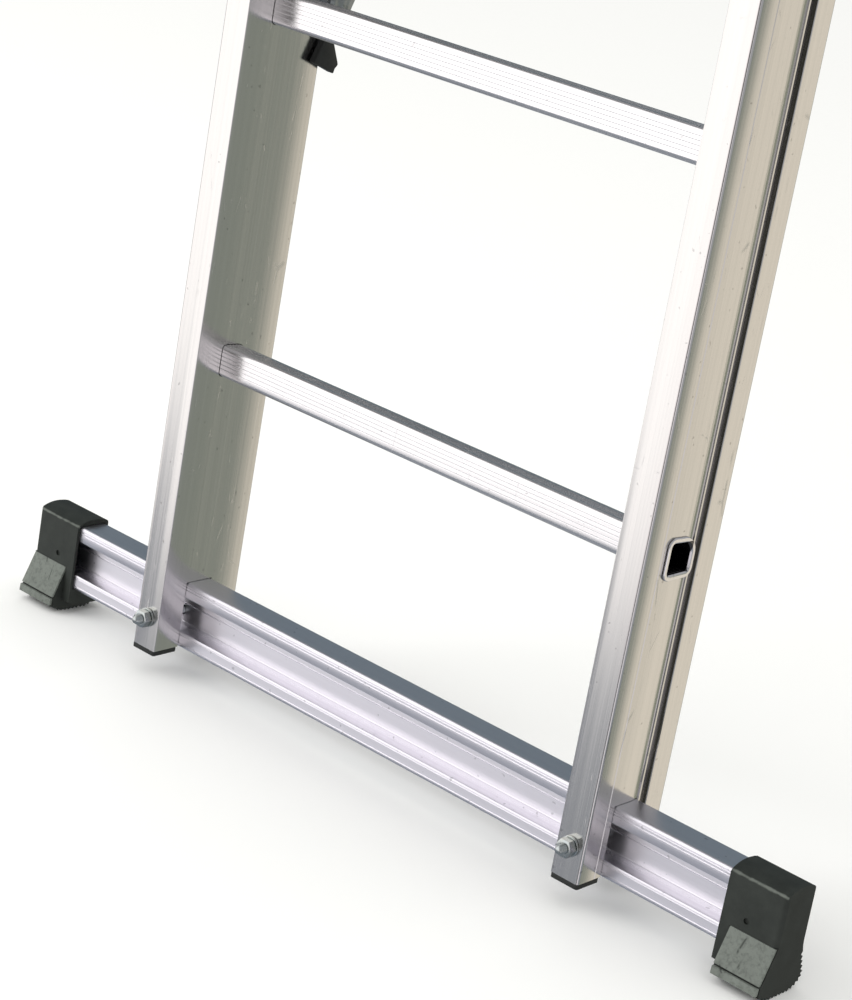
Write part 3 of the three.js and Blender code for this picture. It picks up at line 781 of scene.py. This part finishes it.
# A rung's front, rear, underside and tread round its middle, and how far the tread falls to the rear.
RUNG_SIDES = (-13.5, 13.0, -12.5, 13.5)
TREAD_FALL = 0.8
TREAD_LINES = (1.6, 3.3, 5.0, 6.7, 8.4, 10.1)
FRONT_RIBS = 5
# How far a blind rung's hole goes past the stile's inner face.
BLIND_HOLE = 8
# The rivets' places: along Y, and on the brackets how far under the top.
UPPER_RIVET_Y = 75.5
LOWER_RIVET_Y = 116
BRACKET_RIVET_Y = 121.5
BRACKET_RIVETS = (12, 30)
# The outer face of the lower guides: a gap beside the fly stile, and the thickness of the sheet.
LOWER_GUIDE_FACE = FLY_HIGH.x + 0.3 + 2.5
# The fly stile's scribe line, from its groove, and the two ridges in the bar's channel, as heights.
FLY_SCRIBE = 22
BAR_RIDGES = (32.7, 16.8)
THREAD_LENGTH = 25
SHANK_FROM = 14
BOLT_X = (BOLT_LOW.x + BOLT_HIGH.x) / 2
BOLT_Z = (BOLT_LOW.z + BOLT_HIGH.z) / 2


def base_stile_outline(s):
    """The base's right stile in plan: sharp inner corner, round outer corner, scribe line, guide groove."""
    inner, outer, front, rear = STILE_LOW.x, STILE_HIGH.x, STILE_LOW.y, STILE_HIGH.y
    face = (outer, front + s.outer_corner)
    slope_end = s.groove_from - 2
    return [
        *arc((inner + s.inner_corner, front + s.inner_corner), s.inner_corner, 180, 270, 3),
        *arc((outer - s.outer_corner, front + s.outer_corner), s.outer_corner, 270, 360),
        *scored(face, (outer, rear), [s.scribe - s.outer_corner], s.scribe_width, s.scribe_depth),
        (outer, slope_end - s.slope),
        (outer - s.slope_depth * 0.35, slope_end - s.slope * 0.55),
        (outer - s.slope_depth, slope_end - 0.4),
        (outer - 0.6, slope_end),
        (outer - 0.6, s.groove_from - 0.3),
        (outer - s.groove_depth, s.groove_from + 0.2),
        (outer - s.groove_depth, s.groove_to),
        (outer - 0.4, s.groove_to + 0.1),
        (outer, s.groove_to + 0.7),
        *arc((outer - s.rear_corner, rear - s.rear_corner), s.rear_corner, 0, 90),
        *arc((inner + s.rear_corner, rear - s.rear_corner), s.rear_corner, 90, 180),
    ]


def fly_groove_floor(s):
    """Where the fly stile's groove ends, which is a little less deep than the base's."""
    return FLY_HIGH.x - s.groove_depth + 0.5


def fly_stile_outline(s):
    """The fly's right stile in plan."""
    inner, outer, front, rear = FLY_LOW.x, FLY_HIGH.x, FLY_LOW.y, FLY_HIGH.y
    start = front + s.fly_groove
    end = start + s.fly_groove_width
    floor = fly_groove_floor(s)
    r = s.rear_corner
    return [
        *arc((inner + r, front + r), r, 180, 270),
        *arc((outer - r, front + r), r, 270, 360),
        (outer, start),
        (floor, start),
        (floor, end),
        (outer, end),
        *scored((outer, end), (outer, rear), [FLY_SCRIBE], s.scribe_width, s.scribe_depth),
        *arc((outer - r, rear - r), r, 0, 90),
        *arc((inner + r, rear - r), r, 90, 180),
    ]


def base_hollow(s):
    """The void inside the base's right stile, which steps round the groove."""
    left, right = STILE_LOW.x + s.wall, STILE_HIGH.x - s.wall
    front, rear = STILE_LOW.y + s.wall, STILE_HIGH.y - s.wall
    step = STILE_HIGH.x - s.groove_depth - s.wall
    near, far = s.groove_from - s.wall, s.groove_to + s.wall
    groove = [(right, near - 1), (step, near), (step, far), (right, far)]
    return [(left, front), (right, front), *groove, (right, rear), (left, rear)]


def fly_hollow(s):
    """The void inside the fly's right stile, which is narrow as far as the back of the groove."""
    left, right = FLY_LOW.x + s.wall, FLY_HIGH.x - s.wall
    front, rear = FLY_LOW.y + s.wall, FLY_HIGH.y - s.wall
    step = fly_groove_floor(s) - s.wall
    far = FLY_LOW.y + s.fly_groove + s.fly_groove_width + s.wall
    return [(left, front), (step, front), (step, far), (right, far), (right, rear), (left, rear)]


def mirrored(outline, side):
    """An outline as it is for the right side (1), or turned over for the left side (-1)."""
    return outline if side > 0 else [(-u, v) for u, v in reversed(outline)]


def rung_outline(s, grow=0.0, middle=(0.0, 0.0), ribbed=True):
    """A rung's section in Y and Z round its middle, let out or in: ribs on the front and the tread, and
    a tread that falls away to a round rear corner."""
    front, rear, bottom, top = (side + (grow if side > 0 else -grow) for side in RUNG_SIDES)
    corner, round_corner = s.corner + grow, s.rear_corner + grow
    rear_top = top - TREAD_FALL
    rib_depth, line_depth = (s.rib_depth, s.tread_depth) if ribbed else (0, 0)
    tread = ((rear - round_corner, rear_top), (front + corner, top))
    face = ((front, top - corner), (front, bottom + corner))
    ribs = [s.rib_pitch * (i + 0.5) for i in range(FRONT_RIBS)]
    points = [
        *arc((front + corner, bottom + corner), corner, 180, 270, 8),
        *arc((rear - corner, bottom + corner), corner, 270, 360, 8),
        *arc((rear - round_corner, rear_top - round_corner), round_corner, 0, 88, 8),
        *scored(*tread, TREAD_LINES, s.tread_width, line_depth),
        *arc((front + corner, top - corner), corner, 90, 180, 8),
        *scored(*face, ribs, s.rib_width, rib_depth),
    ]
    return [(u + middle[0], v + middle[1]) for u, v in points]


def rung_tube(name, s, end, middle):
    """A hollow rung, whose right end is a list of (X, growth) from its outer skin round to its inner."""
    mesh = bmesh.new()
    both = end + [(-x, grow) for x, grow in reversed(end)]
    looped(mesh, [[at(x, u, v) for u, v in rung_outline(s, grow, middle, grow == 0)] for x, grow in both])
    return plain_object(name, mesh)


def bar_outline(s):
    """The stabiliser bar's section in Y and Z: a box with an open channel along its front."""
    front, rear, bottom, top = BAR_LOW.y, BAR_HIGH.y, BAR_LOW.z, BAR_HIGH.z
    floor, corner, edge = front + s.channel_depth, s.corner, 0.7
    ridge = ((0, 0.7), (0.5, 0), (0, -0.7))
    ridges = [(floor - rise, height + up) for height in BAR_RIDGES for rise, up in ridge]
    return [
        *arc((front + corner, bottom + corner), corner, 180, 270),
        *arc((rear - corner, bottom + corner), corner, 270, 360),
        *arc((rear - corner, top - corner), corner, 0, 90),
        *arc((front + corner, top - corner), corner, 90, 180),
        *scored((front, top - corner), (front, bottom), [1.3, 3.6], s.line_width, s.line_depth),
        (front, s.channel_to + edge),
        (front + edge * 0.3, s.channel_to + edge * 0.3),
        (front + edge, s.channel_to),
        (floor, s.channel_to),
        *ridges,
        (floor, s.channel_from),
        (front + edge, s.channel_from),
        (front + edge * 0.3, s.channel_from - edge * 0.3),
        (front, s.channel_from - edge),
        *scored((front, s.channel_from), (front, bottom), [2.7, 9.8], s.line_width, s.line_depth),
    ]


def bar_hollow(s):
    """The void inside the bar."""
    front, rear = BAR_LOW.y + s.wall, BAR_HIGH.y - s.wall
    bottom, top = BAR_LOW.z + s.wall, BAR_HIGH.z - s.wall
    floor = front + s.channel_depth
    return [
        (front, bottom),
        (rear, bottom),
        (rear, top),
        (front, top),
        (front, s.channel_to + s.wall),
        (floor, s.channel_to + s.wall),
        (floor, s.channel_from - s.wall),
        (front, s.channel_from - s.wall),
    ]


# The shoe's side, as Y and Z: its arched top, its back, the flare down to the sole, the front of its
# pad, and the edge along which a pale stripe is painted, partly highlight and partly wear.
SHOE_FRONT = 23.5
SHOE_CROWN = [(49.5, 60.2), (44.5, 60.8), (40.0, 61.0), (35.5, 60.7), (31.0, 59.7), (27.0, 58.3)]
SHOE_TOP = [(57.0, 56.0), (56.3, 57.9), (54.0, 59.1), *SHOE_CROWN, (24.6, 57.0), (SHOE_FRONT, 55.6)]
SHOE_BACK = [(62.6, -18.6), (64.9, -15.6), (65.5, -12.6), (64.4, -8.0), (60.5, 4.0), (58.3, 11.0)]
SHOE_SOLE = [(14.8, -18.2), (20.5, -21.2), (28.0, -23.0), (52.0, -23.0), (58.0, -21.4)]
SHOE_BACK_EDGE = (57.7, 16.0)
PAD_FRONT = [(SHOE_FRONT, 17.3), (11.5, -10.0), (11.0, -16.0)]
SHOE_RIM = (24.6, 56.4)
# Cut out of the shoe, as Y and Z: the recess for the pad, and what lies under the straight inner band.
PAD_RECESS = [(2, 17.6), (25.9, 17.6), (14.0, -10.2), (13.6, -16.4), (2, -16.4)]
INNER_CUT = [(0, -40), (70, -40), (70, -16), (30, -15), (SHOE_FRONT, -12), (SHOE_FRONT, 17.7), (0, 17.7)]
# Along X: the end of the socket, the end of the straight inner band, and the ends of the pad.
SOCKET_END = 384.3
BAND_END = 350.2
WIDER_THAN_SHOE = 60
PAD_ENDS = (350.5, 389.5)
# The height from which the shoe's outer front corner is rounded, and its radius.
CORNER_FROM = 17.7
CORNER_RADIUS = 3.6
DIMPLE_AT = (362, 26)


def circle(centre, radius, points=24):
    """Points round a circle."""
    return arc(centre, radius, 0, 360 - 360 / points, points - 1)


def bar_clearance(fit, below=0.0):
    """The space that the bar takes in a shoe or a stile, and so much below it, as Y and Z."""
    front, rear = BAR_LOW.y - fit, BAR_HIGH.y + fit
    bottom, top = BAR_LOW.z - fit - below, BAR_HIGH.z + fit
    return [(front, bottom), (rear, bottom), (rear, top), (front, top)]


def serrated(made, s, tree, side):
    """Cuts V-shaped grooves across the shoe's sole, all the way from its toe to its back."""
    line = bmesh.new()
    middle = side * (SHOE_LOW.x + SHOE_HIGH.x) / 2
    spots = [line.verts.new(at(middle, u, v)) for u, v in SHOE_SOLE + SHOE_BACK[:5]]
    for one, following in zip(spots, spots[1:]):
        line.edges.new((one, following))
    teeth = grown(
        plain_object("teeth", line),
        tree,
        {
            "Pitch": s.tooth_pitch * MM,
            "Height": s.tooth_height * MM,
            "Width": WIDER_THAN_SHOE * MM,
            "Material": finish("rubber"),
        },
    )
    return combine(made, teeth, "DIFFERENCE")


def shoe(name, s, tree, side, fit):
    """A moulded shoe: an arched block with a socket for the bar and a flared, serrated sole."""
    low, high = SHOE_LOW.x, SHOE_HIGH.x
    mesh = bmesh.new()
    prism(mesh, [*SHOE_SOLE, *SHOE_BACK, SHOE_BACK_EDGE, *SHOE_TOP, *PAD_FRONT], "X", side * low, side * high)
    made = plain_object(name, mesh)
    cuts = bmesh.new()
    prism(cuts, bar_clearance(fit), "X", side * (low - 1), side * SOCKET_END)
    prism(cuts, PAD_RECESS, "X", side * BAND_END, side * (high + 1))
    prism(cuts, circle((side * DIMPLE_AT[0], DIMPLE_AT[1]), s.dimple), "Y", 20, 25.1)
    combine(made, plain_object("cuts", cuts), "DIFFERENCE")
    inner = bmesh.new()
    prism(inner, INNER_CUT, "X", side * (low - 1), side * BAND_END)
    combine(made, plain_object("inner", inner), "DIFFERENCE")
    corner = bmesh.new()
    inward, back = high - CORNER_RADIUS, SHOE_FRONT + CORNER_RADIUS
    rounded = arc((inward, back), CORNER_RADIUS, 0, -90, 8)
    waste = [*rounded, (inward, 20), (high + 2, 20), (high + 2, back)]
    prism(corner, mirrored(waste, side), "Z", CORNER_FROM, 70)
    combine(made, plain_object("corner", corner), "DIFFERENCE")
    return soften(serrated(made, s, tree, side), s.edge * 0.5, 38)


def pad(name, s, side):
    """The tread pad let into a shoe: a sloping face and, below a groove, an upright strip."""
    top, toe, bottom = PAD_FRONT
    share = s.pad_groove / (top[1] - toe[1])
    lip = (toe[0] + (top[0] - toe[0]) * share, toe[1] + (top[1] - toe[1]) * share)
    face = [lip, (lip[0] + 2.2, lip[1] - 0.4), (25.6, top[1]), top]
    strip = [(bottom[0] - 0.5, bottom[1]), (13.3, bottom[1]), (13.6, toe[1]), (toe[0] - 0.5, toe[1])]
    mesh = bmesh.new()
    for outline in (face, strip):
        prism(mesh, outline, "X", *(side * end for end in PAD_ENDS))
    return soften(plain_object(name, mesh), 0.4, 38)


def hexagon(name, centre, across, start, end, bore=0.0):
    """A hexagon nut or bolt head along Y, chamfered at both ends."""
    corner = across / math.sqrt(3)
    face, out = across / 2 * 0.94, corner + 0.3
    fall = (out - face) * math.tan(math.radians(28))
    hexagonal = bmesh.new()
    prism(hexagonal, circle(centre, corner, 6), "Y", start - 1, end + 1)
    made = plain_object(name, hexagonal)
    cones = bmesh.new()
    profile = [(face, start), (out, start + fall), (out, end - fall), (face, end)]
    turned(cones, "Y", centre, [(bore, start), *profile, (bore, end)], 48)
    return combine(made, plain_object("cones", cones), "INTERSECT")


def bolt(name, s, side):
    """A hexagon bolt along Y: threaded at its front end, with its head behind the stile."""
    centre, radius = (side * BOLT_X, BOLT_Z), s.bolt
    tip, head = BOLT_LOW.y, BOLT_HIGH.y - s.bolt_head
    thread = []
    for i in range(int(THREAD_LENGTH / s.thread_pitch)):
        crest = tip + 2.6 + i * s.thread_pitch
        thread += [(radius, crest), (radius - s.thread_depth, crest + s.thread_pitch / 2)]
    mesh = bmesh.new()
    point = [(0, tip), (radius - 2.2, tip), (radius - 1.4, tip + 0.5), (radius - 0.4, tip + 2.1)]
    shank = [(radius, SHANK_FROM), (radius, head + 1), (0, head + 1)]
    turned(mesh, "Y", centre, [*point, *thread, *shank], 36)
    top = hexagon("head", centre, s.nut_width, head, BOLT_HIGH.y)
    return combine(plain_object(name, mesh), top, "UNION")


def washer(name, node, centre, bore):
    """A plain washer with softened rims, where its CAD node is."""
    low, high = extent(node)
    radius = (high.x - low.x) / 2
    mesh = bmesh.new()
    turned(mesh, "Y", centre, [(bore, low.y), (radius, low.y), (radius, high.y), (bore, high.y)], 48)
    return soften(plain_object(name, mesh), 0.25)


# ---------------------------------------------------------------- operators


class LADDER_OT_stiles(bpy.types.Operator):
    """Adds the four stiles, with the holes for the rungs, the bar and its bolts"""

    bl_idname = "ladder.stiles"
    bl_label = "Stiles"

    def execute(self, context):
        stile, rung = group(context, "stiles"), group(context, "rungs")
        fit, bolt_hole = group(context, "bar").fit, group(context, "hardware").bolt_hole
        shapes = {
            "base": (base_stile_outline(stile), base_hollow(stile), STILE_LOW, STILE_HIGH),
            "fly": (fly_stile_outline(stile), fly_hollow(stile), FLY_LOW, FLY_HIGH),
        }
        rungs = {
            "base": [(RUNG_Y, RUNG_MIDDLE + RUNG_PITCH * i) for i in range(BASE_RUNGS)],
            "fly": [(FLY_RUNG_Y, FLY_RUNG_MIDDLE + RUNG_PITCH * i) for i in range(FLY_RUNGS)],
        }
        for name, side in SIDES:
            for section, (outline, hollow, low, high) in shapes.items():
                mesh = bmesh.new()
                prism(mesh, mirrored(outline, side), "Z", low.z, high.z, mirrored(hollow, side))
                made = plain_object(f"{section}_upright_{name}", mesh)
                cuts = bmesh.new()
                for i, middle in enumerate(rungs[section]):
                    through = section == "base" and i == 0
                    end = high.x + 1 if through else low.x + BLIND_HOLE
                    hole = rung_outline(rung, rung.gap, middle, False)
                    prism(cuts, hole, "X", side * (low.x - 1), side * end)
                if section == "base":
                    prism(cuts, bar_clearance(fit, 5), "X", side * (low.x - 1), side * (high.x + 1))
                    for y in (low.y, high.y):
                        prism(cuts, circle((side * BOLT_X, BOLT_Z), bolt_hole), "Y", y - 4, y + 4)
                combine(made, plain_object("cuts", cuts), "DIFFERENCE")
                give(made, section, "stile", [f"{section}_stile_{name}"])
        return {"FINISHED"}


class LADDER_OT_rungs(bpy.types.Operator):
    """Adds the rungs: the lowest with its flared ends, and the others repeated up each section"""

    bl_idname = "ladder.rungs"
    bl_label = "Rungs"

    def execute(self, context):
        s = group(context, "rungs")
        face = STILE_HIGH.x
        flare = [
            (face - 0.1, 0),
            (face + 0.3, 0.5),
            (face + 0.3, s.lip - 0.4),
            (face + 0.6, s.lip),
            (face + 1.4, s.lip - 0.1),
            (face + 1.9, s.lip - 0.5),
            (face + 1.9, 0.2),
            (face + 1.6, -0.5),
            (face + 0.4, -s.wall + 0.2),
            (face - 1, -s.wall),
        ]
        give(rung_tube("lowest_rung", s, flare, (RUNG_Y, RUNG_MIDDLE)), "base", "rung", ["base_rung_1"], 13)
        tree = repeat_upwards_tree()
        half, fly_half = RUNG_2_HIGH.x, FLY_RUNG_HIGH.x
        for body, reach, middle, count, first in (
            ("base", half, (RUNG_Y, RUNG_MIDDLE + RUNG_PITCH), BASE_RUNGS - 1, 2),
            ("fly", fly_half, (FLY_RUNG_Y, FLY_RUNG_MIDDLE), FLY_RUNGS, 1),
        ):
            made = rung_tube(f"{body}_rungs", s, [(reach, 0), (reach, -s.wall)], middle)
            grown(made, tree, {"Count": count, "Pitch": RUNG_PITCH * MM, "Material": finish("rung")})
            nodes = [f"{body}_rung_{first + i}" for i in range(count)]
            give(made, body, "rung", nodes, 13)
        return {"FINISHED"}


class LADDER_OT_bar(bpy.types.Operator):
    """Adds the stabiliser bar at the foot of the base section"""

    bl_idname = "ladder.bar"
    bl_label = "Stabiliser Bar"

    def execute(self, context):
        s, bolt_hole = group(context, "bar"), group(context, "hardware").bolt_hole
        mesh = bmesh.new()
        prism(mesh, bar_outline(s), "X", BAR_LOW.x, BAR_HIGH.x, bar_hollow(s))
        made = plain_object("cross_bar", mesh)
        holes = bmesh.new()
        for _, side in SIDES:
            for wall in (BAR_LOW.y + s.channel_depth + s.wall / 2, BAR_HIGH.y - s.wall / 2):
                hole = circle((side * BOLT_X, BOLT_Z), bolt_hole)
                prism(holes, hole, "Y", wall - s.wall, wall + s.wall)
        combine(made, plain_object("holes", holes), "DIFFERENCE")
        give(made, "base", "bar", ["stabiliser_bar"])
        return {"FINISHED"}


class LADDER_OT_shoes(bpy.types.Operator):
    """Adds the rubber shoes on the bar's ends and the pads let into them"""

    bl_idname = "ladder.shoes"
    bl_label = "Shoes"

    def execute(self, context):
        s, fit = group(context, "shoes"), group(context, "bar").fit
        tree = serration_tree()
        for name, side in SIDES:
            give(shoe("foot_" + name, s, tree, side, fit), "base", "rubber", ["shoe_" + name], 40)
            give(pad("foot_pad_" + name, s, side), "base", "tread", ["tread_pad_" + name])
        return {"FINISHED"}


class LADDER_OT_bolts(bpy.types.Operator):
    """Adds the bolts, nuts and washers that hold the bar in the stiles"""

    bl_idname = "ladder.bolts"
    bl_label = "Bolts"

    def execute(self, context):
        s = group(context, "hardware")
        for name, side in SIDES:
            centre = (side * BOLT_X, BOLT_Z)
            low, high = extent("bar_nut_" + name)
            give(bolt("bolt_" + name, s, side), "base", "zinc", ["bar_bolt_" + name], 40)
            nut = hexagon("nut_" + name, centre, s.nut_width, low.y, high.y, s.nut_bore)
            give(nut, "base", "zinc", ["bar_nut_" + name])
            for place in ("front", "rear"):
                node = f"{place}_washer_{name}"
                made = washer(f"washer_{place}_{name}", node, centre, s.washer_bore)
                give(made, "base", "zinc", [node])
        return {"FINISHED"}


class LADDER_OT_caps(bpy.types.Operator):
    """Adds the caps on the ends of the stiles and the wall caps on top of the fly"""

    bl_idname = "ladder.caps"
    bl_label = "Caps"

    def execute(self, context):
        kinds = (
            ("toe_cap", "base", "plastic"),
            ("heel_cap", "base", "plastic"),
            ("base_top_cap", "base", "plastic"),
            ("fly_foot_cap", "fly", "plastic"),
            ("wall_cap", "fly", "rubber"),
        )
        for kind, body, key in kinds:
            for name, _ in SIDES:
                node = f"{kind}_{name}"
                made = soften(frame_copy(f"moulded_{node}", node), 0.8, segments=3)
                give(made, body, key, [node], 40)
        return {"FINISHED"}


class LADDER_OT_guides(bpy.types.Operator):
    """Adds the guides that hold the sections together, their rivets and the travel stops"""

    bl_idname = "ladder.guides"
    bl_label = "Guides"

    def execute(self, context):
        s = group(context, "hardware")
        for name, _ in SIDES:
            for kind, body in (("upper_guide", "base"), ("lower_guide", "fly")):
                node = f"{kind}_{name}"
                made = soften(frame_copy(f"pressed_{node}", node, 1.1, "Z"), 0.35)
                give(made, body, "steel", [node])
            node = "travel_stop_" + name
            give(soften(frame_copy("moulded_" + node, node), 0.8), "base", "plastic", [node])
        tree = rivet_tree()
        upper, lower = extent("upper_guide_right"), extent("lower_guide_right")
        bracket = extent("hook_bracket_right")
        base_spots = [(upper[1].x, UPPER_RIVET_Y, z) for z in self.pair(upper, s.rivet_pitch)]
        fly_spots = [(LOWER_GUIDE_FACE, LOWER_RIVET_Y, z) for z in self.pair(lower, s.rivet_pitch)]
        fly_spots += [(bracket[1].x, BRACKET_RIVET_Y, bracket[1].z - down) for down in BRACKET_RIVETS]
        for body, spots in (("base", base_spots), ("fly", fly_spots)):
            give(rivets(f"{body}_rivets", tree, spots, s), body, "zinc")
        return {"FINISHED"}

    @staticmethod
    def pair(box, pitch):
        """The heights of a guide's two rivets."""
        middle = (box[0].z + box[1].z) / 2
        return (middle - pitch / 2, middle + pitch / 2)


class LADDER_OT_hooks(bpy.types.Operator):
    """Adds the rung hooks, the brackets that carry them and the pins on which they swing"""

    bl_idname = "ladder.hooks"
    bl_label = "Hooks"

    def execute(self, context):
        for name, side in SIDES:
            bracket = "hook_bracket_" + name
            made = soften(frame_copy("pressed_" + bracket, bracket, 2.5), 0.4)
            give(made, "fly", "steel", [bracket])
            hook = "rung_hook_" + name
            made = soften(frame_copy("forged_" + hook, hook, 1.6), 0.7)
            give(made, "hook_" + name, "steel", [hook])
            for kind in ("hook", "lock"):
                node = f"{kind}_pin_{name}"
                made = soften(frame_copy("turned_" + node, node), 0.5, 50)
                give(made, "fly", "zinc", [node], 40)
        return {"FINISHED"}


class LADDER_OT_locks(bpy.types.Operator):
    """Adds the lift locks that hang under the hooks"""

    bl_idname = "ladder.locks"
    bl_label = "Lift Locks"

    def execute(self, context):
        for name, _ in SIDES:
            node = "lift_lock_" + name
            made = soften(frame_copy("moulded_" + node, node, 1.6), 0.6)
            give(made, "lock_" + name, "plastic", [node], 40)
        return {"FINISHED"}


class LADDER_OT_stage(bpy.types.Operator):
    """Adds the floor, the studio light and the camera"""

    bl_idname = "ladder.stage"
    bl_label = "Stage"

    def execute(self, context):
        look = context.scene.ladder_stage
        context.scene.view_settings.view_transform = "Standard"
        context.scene.world = studio_world()
        add_floor(tuple(look.floor))
        add_key_light(look.key)
        add_camera(look.lens, look.roll)
        return {"FINISHED"}


# ---------------------------------------------------------------- stage

# What polished metal mirrors in each direction: a direction, the half angles in degrees at which its
# patch starts and stops fading, how far its height is squeezed before they are measured, and its linear
# colour. Later ones lie over earlier ones, and the ground's shade lies over the first two.
SURROUNDINGS = (
    ((-0.59, -0.74, -0.24), 20, 60, 1.0, (1.22, 1.13, 1.16)),
    ((-0.62, -0.65, 0.25), 24, 55, 1.0, (1.45, 1.44, 1.44)),
    ((-0.69, -0.62, -0.42), 4.5, 8, 1.0, (0.30, 0.32, 0.36)),
    ((-0.594, 0.737, 0.323), 25, 45, 1.0, (0.145, 0.185, 0.21)),
    ((-0.2, 0.1, 0.97), 15, 40, 1.0, (0.22, 0.23, 0.24)),
    ((0.454, -0.891, -0.25), 11, 15, 0.4, (0.05, 0.05, 0.045)),
    ((0.72, -0.66, -0.42), 10, 20, 1.0, (0.85, 0.83, 0.88)),
    ((0.69, 0.69, -0.2), 12, 22, 0.4, (0.26, 0.285, 0.25)),
    ((0.25, 0.93, -0.25), 6, 14, 0.4, (0.25, 0.27, 0.21)),
    ((0.469, 0.883, -0.25), 8, 11.5, 0.4, (0.86, 0.80, 0.69)),
)
PLAIN_AROUND = (0.40, 0.41, 0.43)
BELOW = (0.27, 0.295, 0.33)
FRONT_ONES = 2
# Where the ground's shade sets in and where it is full, as the height of a direction's unit vector.
GROUND_RISE = (-0.338, -0.378)
# The light that everything but a mirror image gets.
EVEN_LIGHT = (0.95, 0.95, 0.94)


def studio_world():
    """A plain pale studio: even light from all round, and patches of light and shade for metal to mirror."""
    world = bpy.data.worlds.new("Studio")
    world.use_nodes = True
    world.cycles.sampling_method = "NONE"
    tree = world.node_tree
    tree.nodes.clear()
    away = add(tree, "ShaderNodeTexCoord").outputs["Object"]
    shade = (*PLAIN_AROUND, 1)
    up = add(tree, "ShaderNodeSeparateXYZ", {"Vector": away}).outputs["Z"]
    low = add(
        tree,
        "ShaderNodeMapRange",
        {"Value": up, "From Min": GROUND_RISE[0], "From Max": GROUND_RISE[1]},
        interpolation_type="SMOOTHSTEP",
    ).outputs["Result"]
    for place, (direction, full, gone, squeeze, colour) in enumerate(SURROUNDINGS):
        flatter = (1, 1, squeeze)
        aim = (Vector(direction) * Vector(flatter)).normalized()
        squeezed = add(tree, "ShaderNodeVectorMath", {0: away, 1: flatter}, operation="MULTIPLY")
        unit = add(tree, "ShaderNodeVectorMath", {0: squeezed.outputs["Vector"]}, operation="NORMALIZE")
        closeness = add(
            tree, "ShaderNodeVectorMath", {0: unit.outputs["Vector"], 1: aim}, operation="DOT_PRODUCT"
        )
        share = add(
            tree,
            "ShaderNodeMapRange",
            {
                "Value": closeness.outputs["Value"],
                "From Min": math.cos(math.radians(gone)),
                "From Max": math.cos(math.radians(full)),
            },
            interpolation_type="SMOOTHSTEP",
        ).outputs["Result"]
        layers = [(share, colour)] + ([(low, BELOW)] if place + 1 == FRONT_ONES else [])
        for reach, over in layers:
            shades = {"Factor": reach, "A": shade, "B": (*over, 1)}
            shade = add(tree, "ShaderNodeMix", shades, data_type="RGBA").outputs["Result"]
    mirror = add(tree, "ShaderNodeLightPath").outputs["Is Glossy Ray"]
    shades = {"Factor": mirror, "A": (*EVEN_LIGHT, 1), "B": shade}
    seen = add(tree, "ShaderNodeMix", shades, data_type="RGBA").outputs["Result"]
    light = add(tree, "ShaderNodeBackground", {"Color": seen})
    add(tree, "ShaderNodeOutputWorld", {"Surface": light.outputs["Background"]})
    return world


def add_floor(colour):
    """A wide pale matt floor under the soles."""
    mesh = bmesh.new()
    ground = SHOE_LOW.z - 0.02
    reach = 9000
    corners = [(-reach, -reach), (reach, -reach), (reach, reach), (-reach, reach)]
    mesh.faces.new([mesh.verts.new(at(x, y, ground)) for x, y in corners])
    floor = plain_object("studio_floor", mesh)
    made, tree, shader, spot = start_material("Matt painted floor")
    shader.inputs["Base Color"].default_value = (*colour, 1)
    shader.inputs["Roughness"].default_value = 0.9
    shader.inputs["Specular IOR Level"].default_value = 0.0
    floor.data.materials.append(made)
    floor.visible_glossy = False


def add_key_light(power):
    """A large soft light from the front left."""
    data = bpy.data.lights.new("Key", "AREA")
    data.shape = "RECTANGLE"
    data.size, data.size_y, data.energy = 2.4, 1.8, power
    key = bpy.data.objects.new("key_light", data)
    key.location = at(-2200, -2400, 2100)
    key.rotation_euler = (at(0, 0, 400) - key.location).to_track_quat("-Z", "Y").to_euler()
    key.visible_glossy = False
    bpy.context.scene.collection.objects.link(key)


def add_camera(lens, roll):
    """The camera, low down in front of the ladder's foot and tilted a little about its line of sight."""
    data = bpy.data.cameras.new("Camera")
    data.lens, data.sensor_width = lens, 36
    data.clip_end = 60
    camera = bpy.data.objects.new("camera", data)
    camera.location = at(1211.4, -1456.5, 859.8)
    aim = (at(6.3, 40, 204.5) - camera.location).to_track_quat("-Z", "Y").to_matrix().to_4x4()
    camera.rotation_euler = (aim @ Matrix.Rotation(roll, 4, "Z")).to_euler()
    bpy.context.scene.collection.objects.link(camera)
    bpy.context.scene.camera = camera


# ---------------------------------------------------------------- the add-on

OPERATORS = (
    LADDER_OT_stiles,
    LADDER_OT_rungs,
    LADDER_OT_bar,
    LADDER_OT_shoes,
    LADDER_OT_bolts,
    LADDER_OT_caps,
    LADDER_OT_guides,
    LADDER_OT_hooks,
    LADDER_OT_locks,
    LADDER_OT_stage,
)


class LADDER_PT_build(bpy.types.Panel):
    """Lists the ladder's pieces and what can be changed about them"""

    bl_idname = "LADDER_PT_build"
    bl_label = "Extension Ladder"
    bl_space_type = "VIEW_3D"
    bl_region_type = "UI"
    bl_category = "Ladder"

    def draw(self, context):
        for operator in OPERATORS:
            self.layout.operator(operator.bl_idname)
        for name, kind in GROUPS.items():
            box = self.layout.box()
            box.label(text=kind.__name__.removeprefix("Ladder"))
            for key in kind.__annotations__:
                box.prop(getattr(context.scene, name), key)


CLASSES = (*GROUPS.values(), *OPERATORS, LADDER_PT_build)


def register():
    for kind in CLASSES:
        bpy.utils.register_class(kind)
    for name, kind in GROUPS.items():
        setattr(bpy.types.Scene, name, bpy.props.PointerProperty(type=kind))


def unregister():
    for name in GROUPS:
        delattr(bpy.types.Scene, name)
    for kind in reversed(CLASSES):
        bpy.utils.unregister_class(kind)


def main():
    register()
    for operator in OPERATORS:
        family, name = operator.bl_idname.split(".")
        getattr(getattr(bpy.ops, family), name)()


if __name__ == "__main__":
    main()
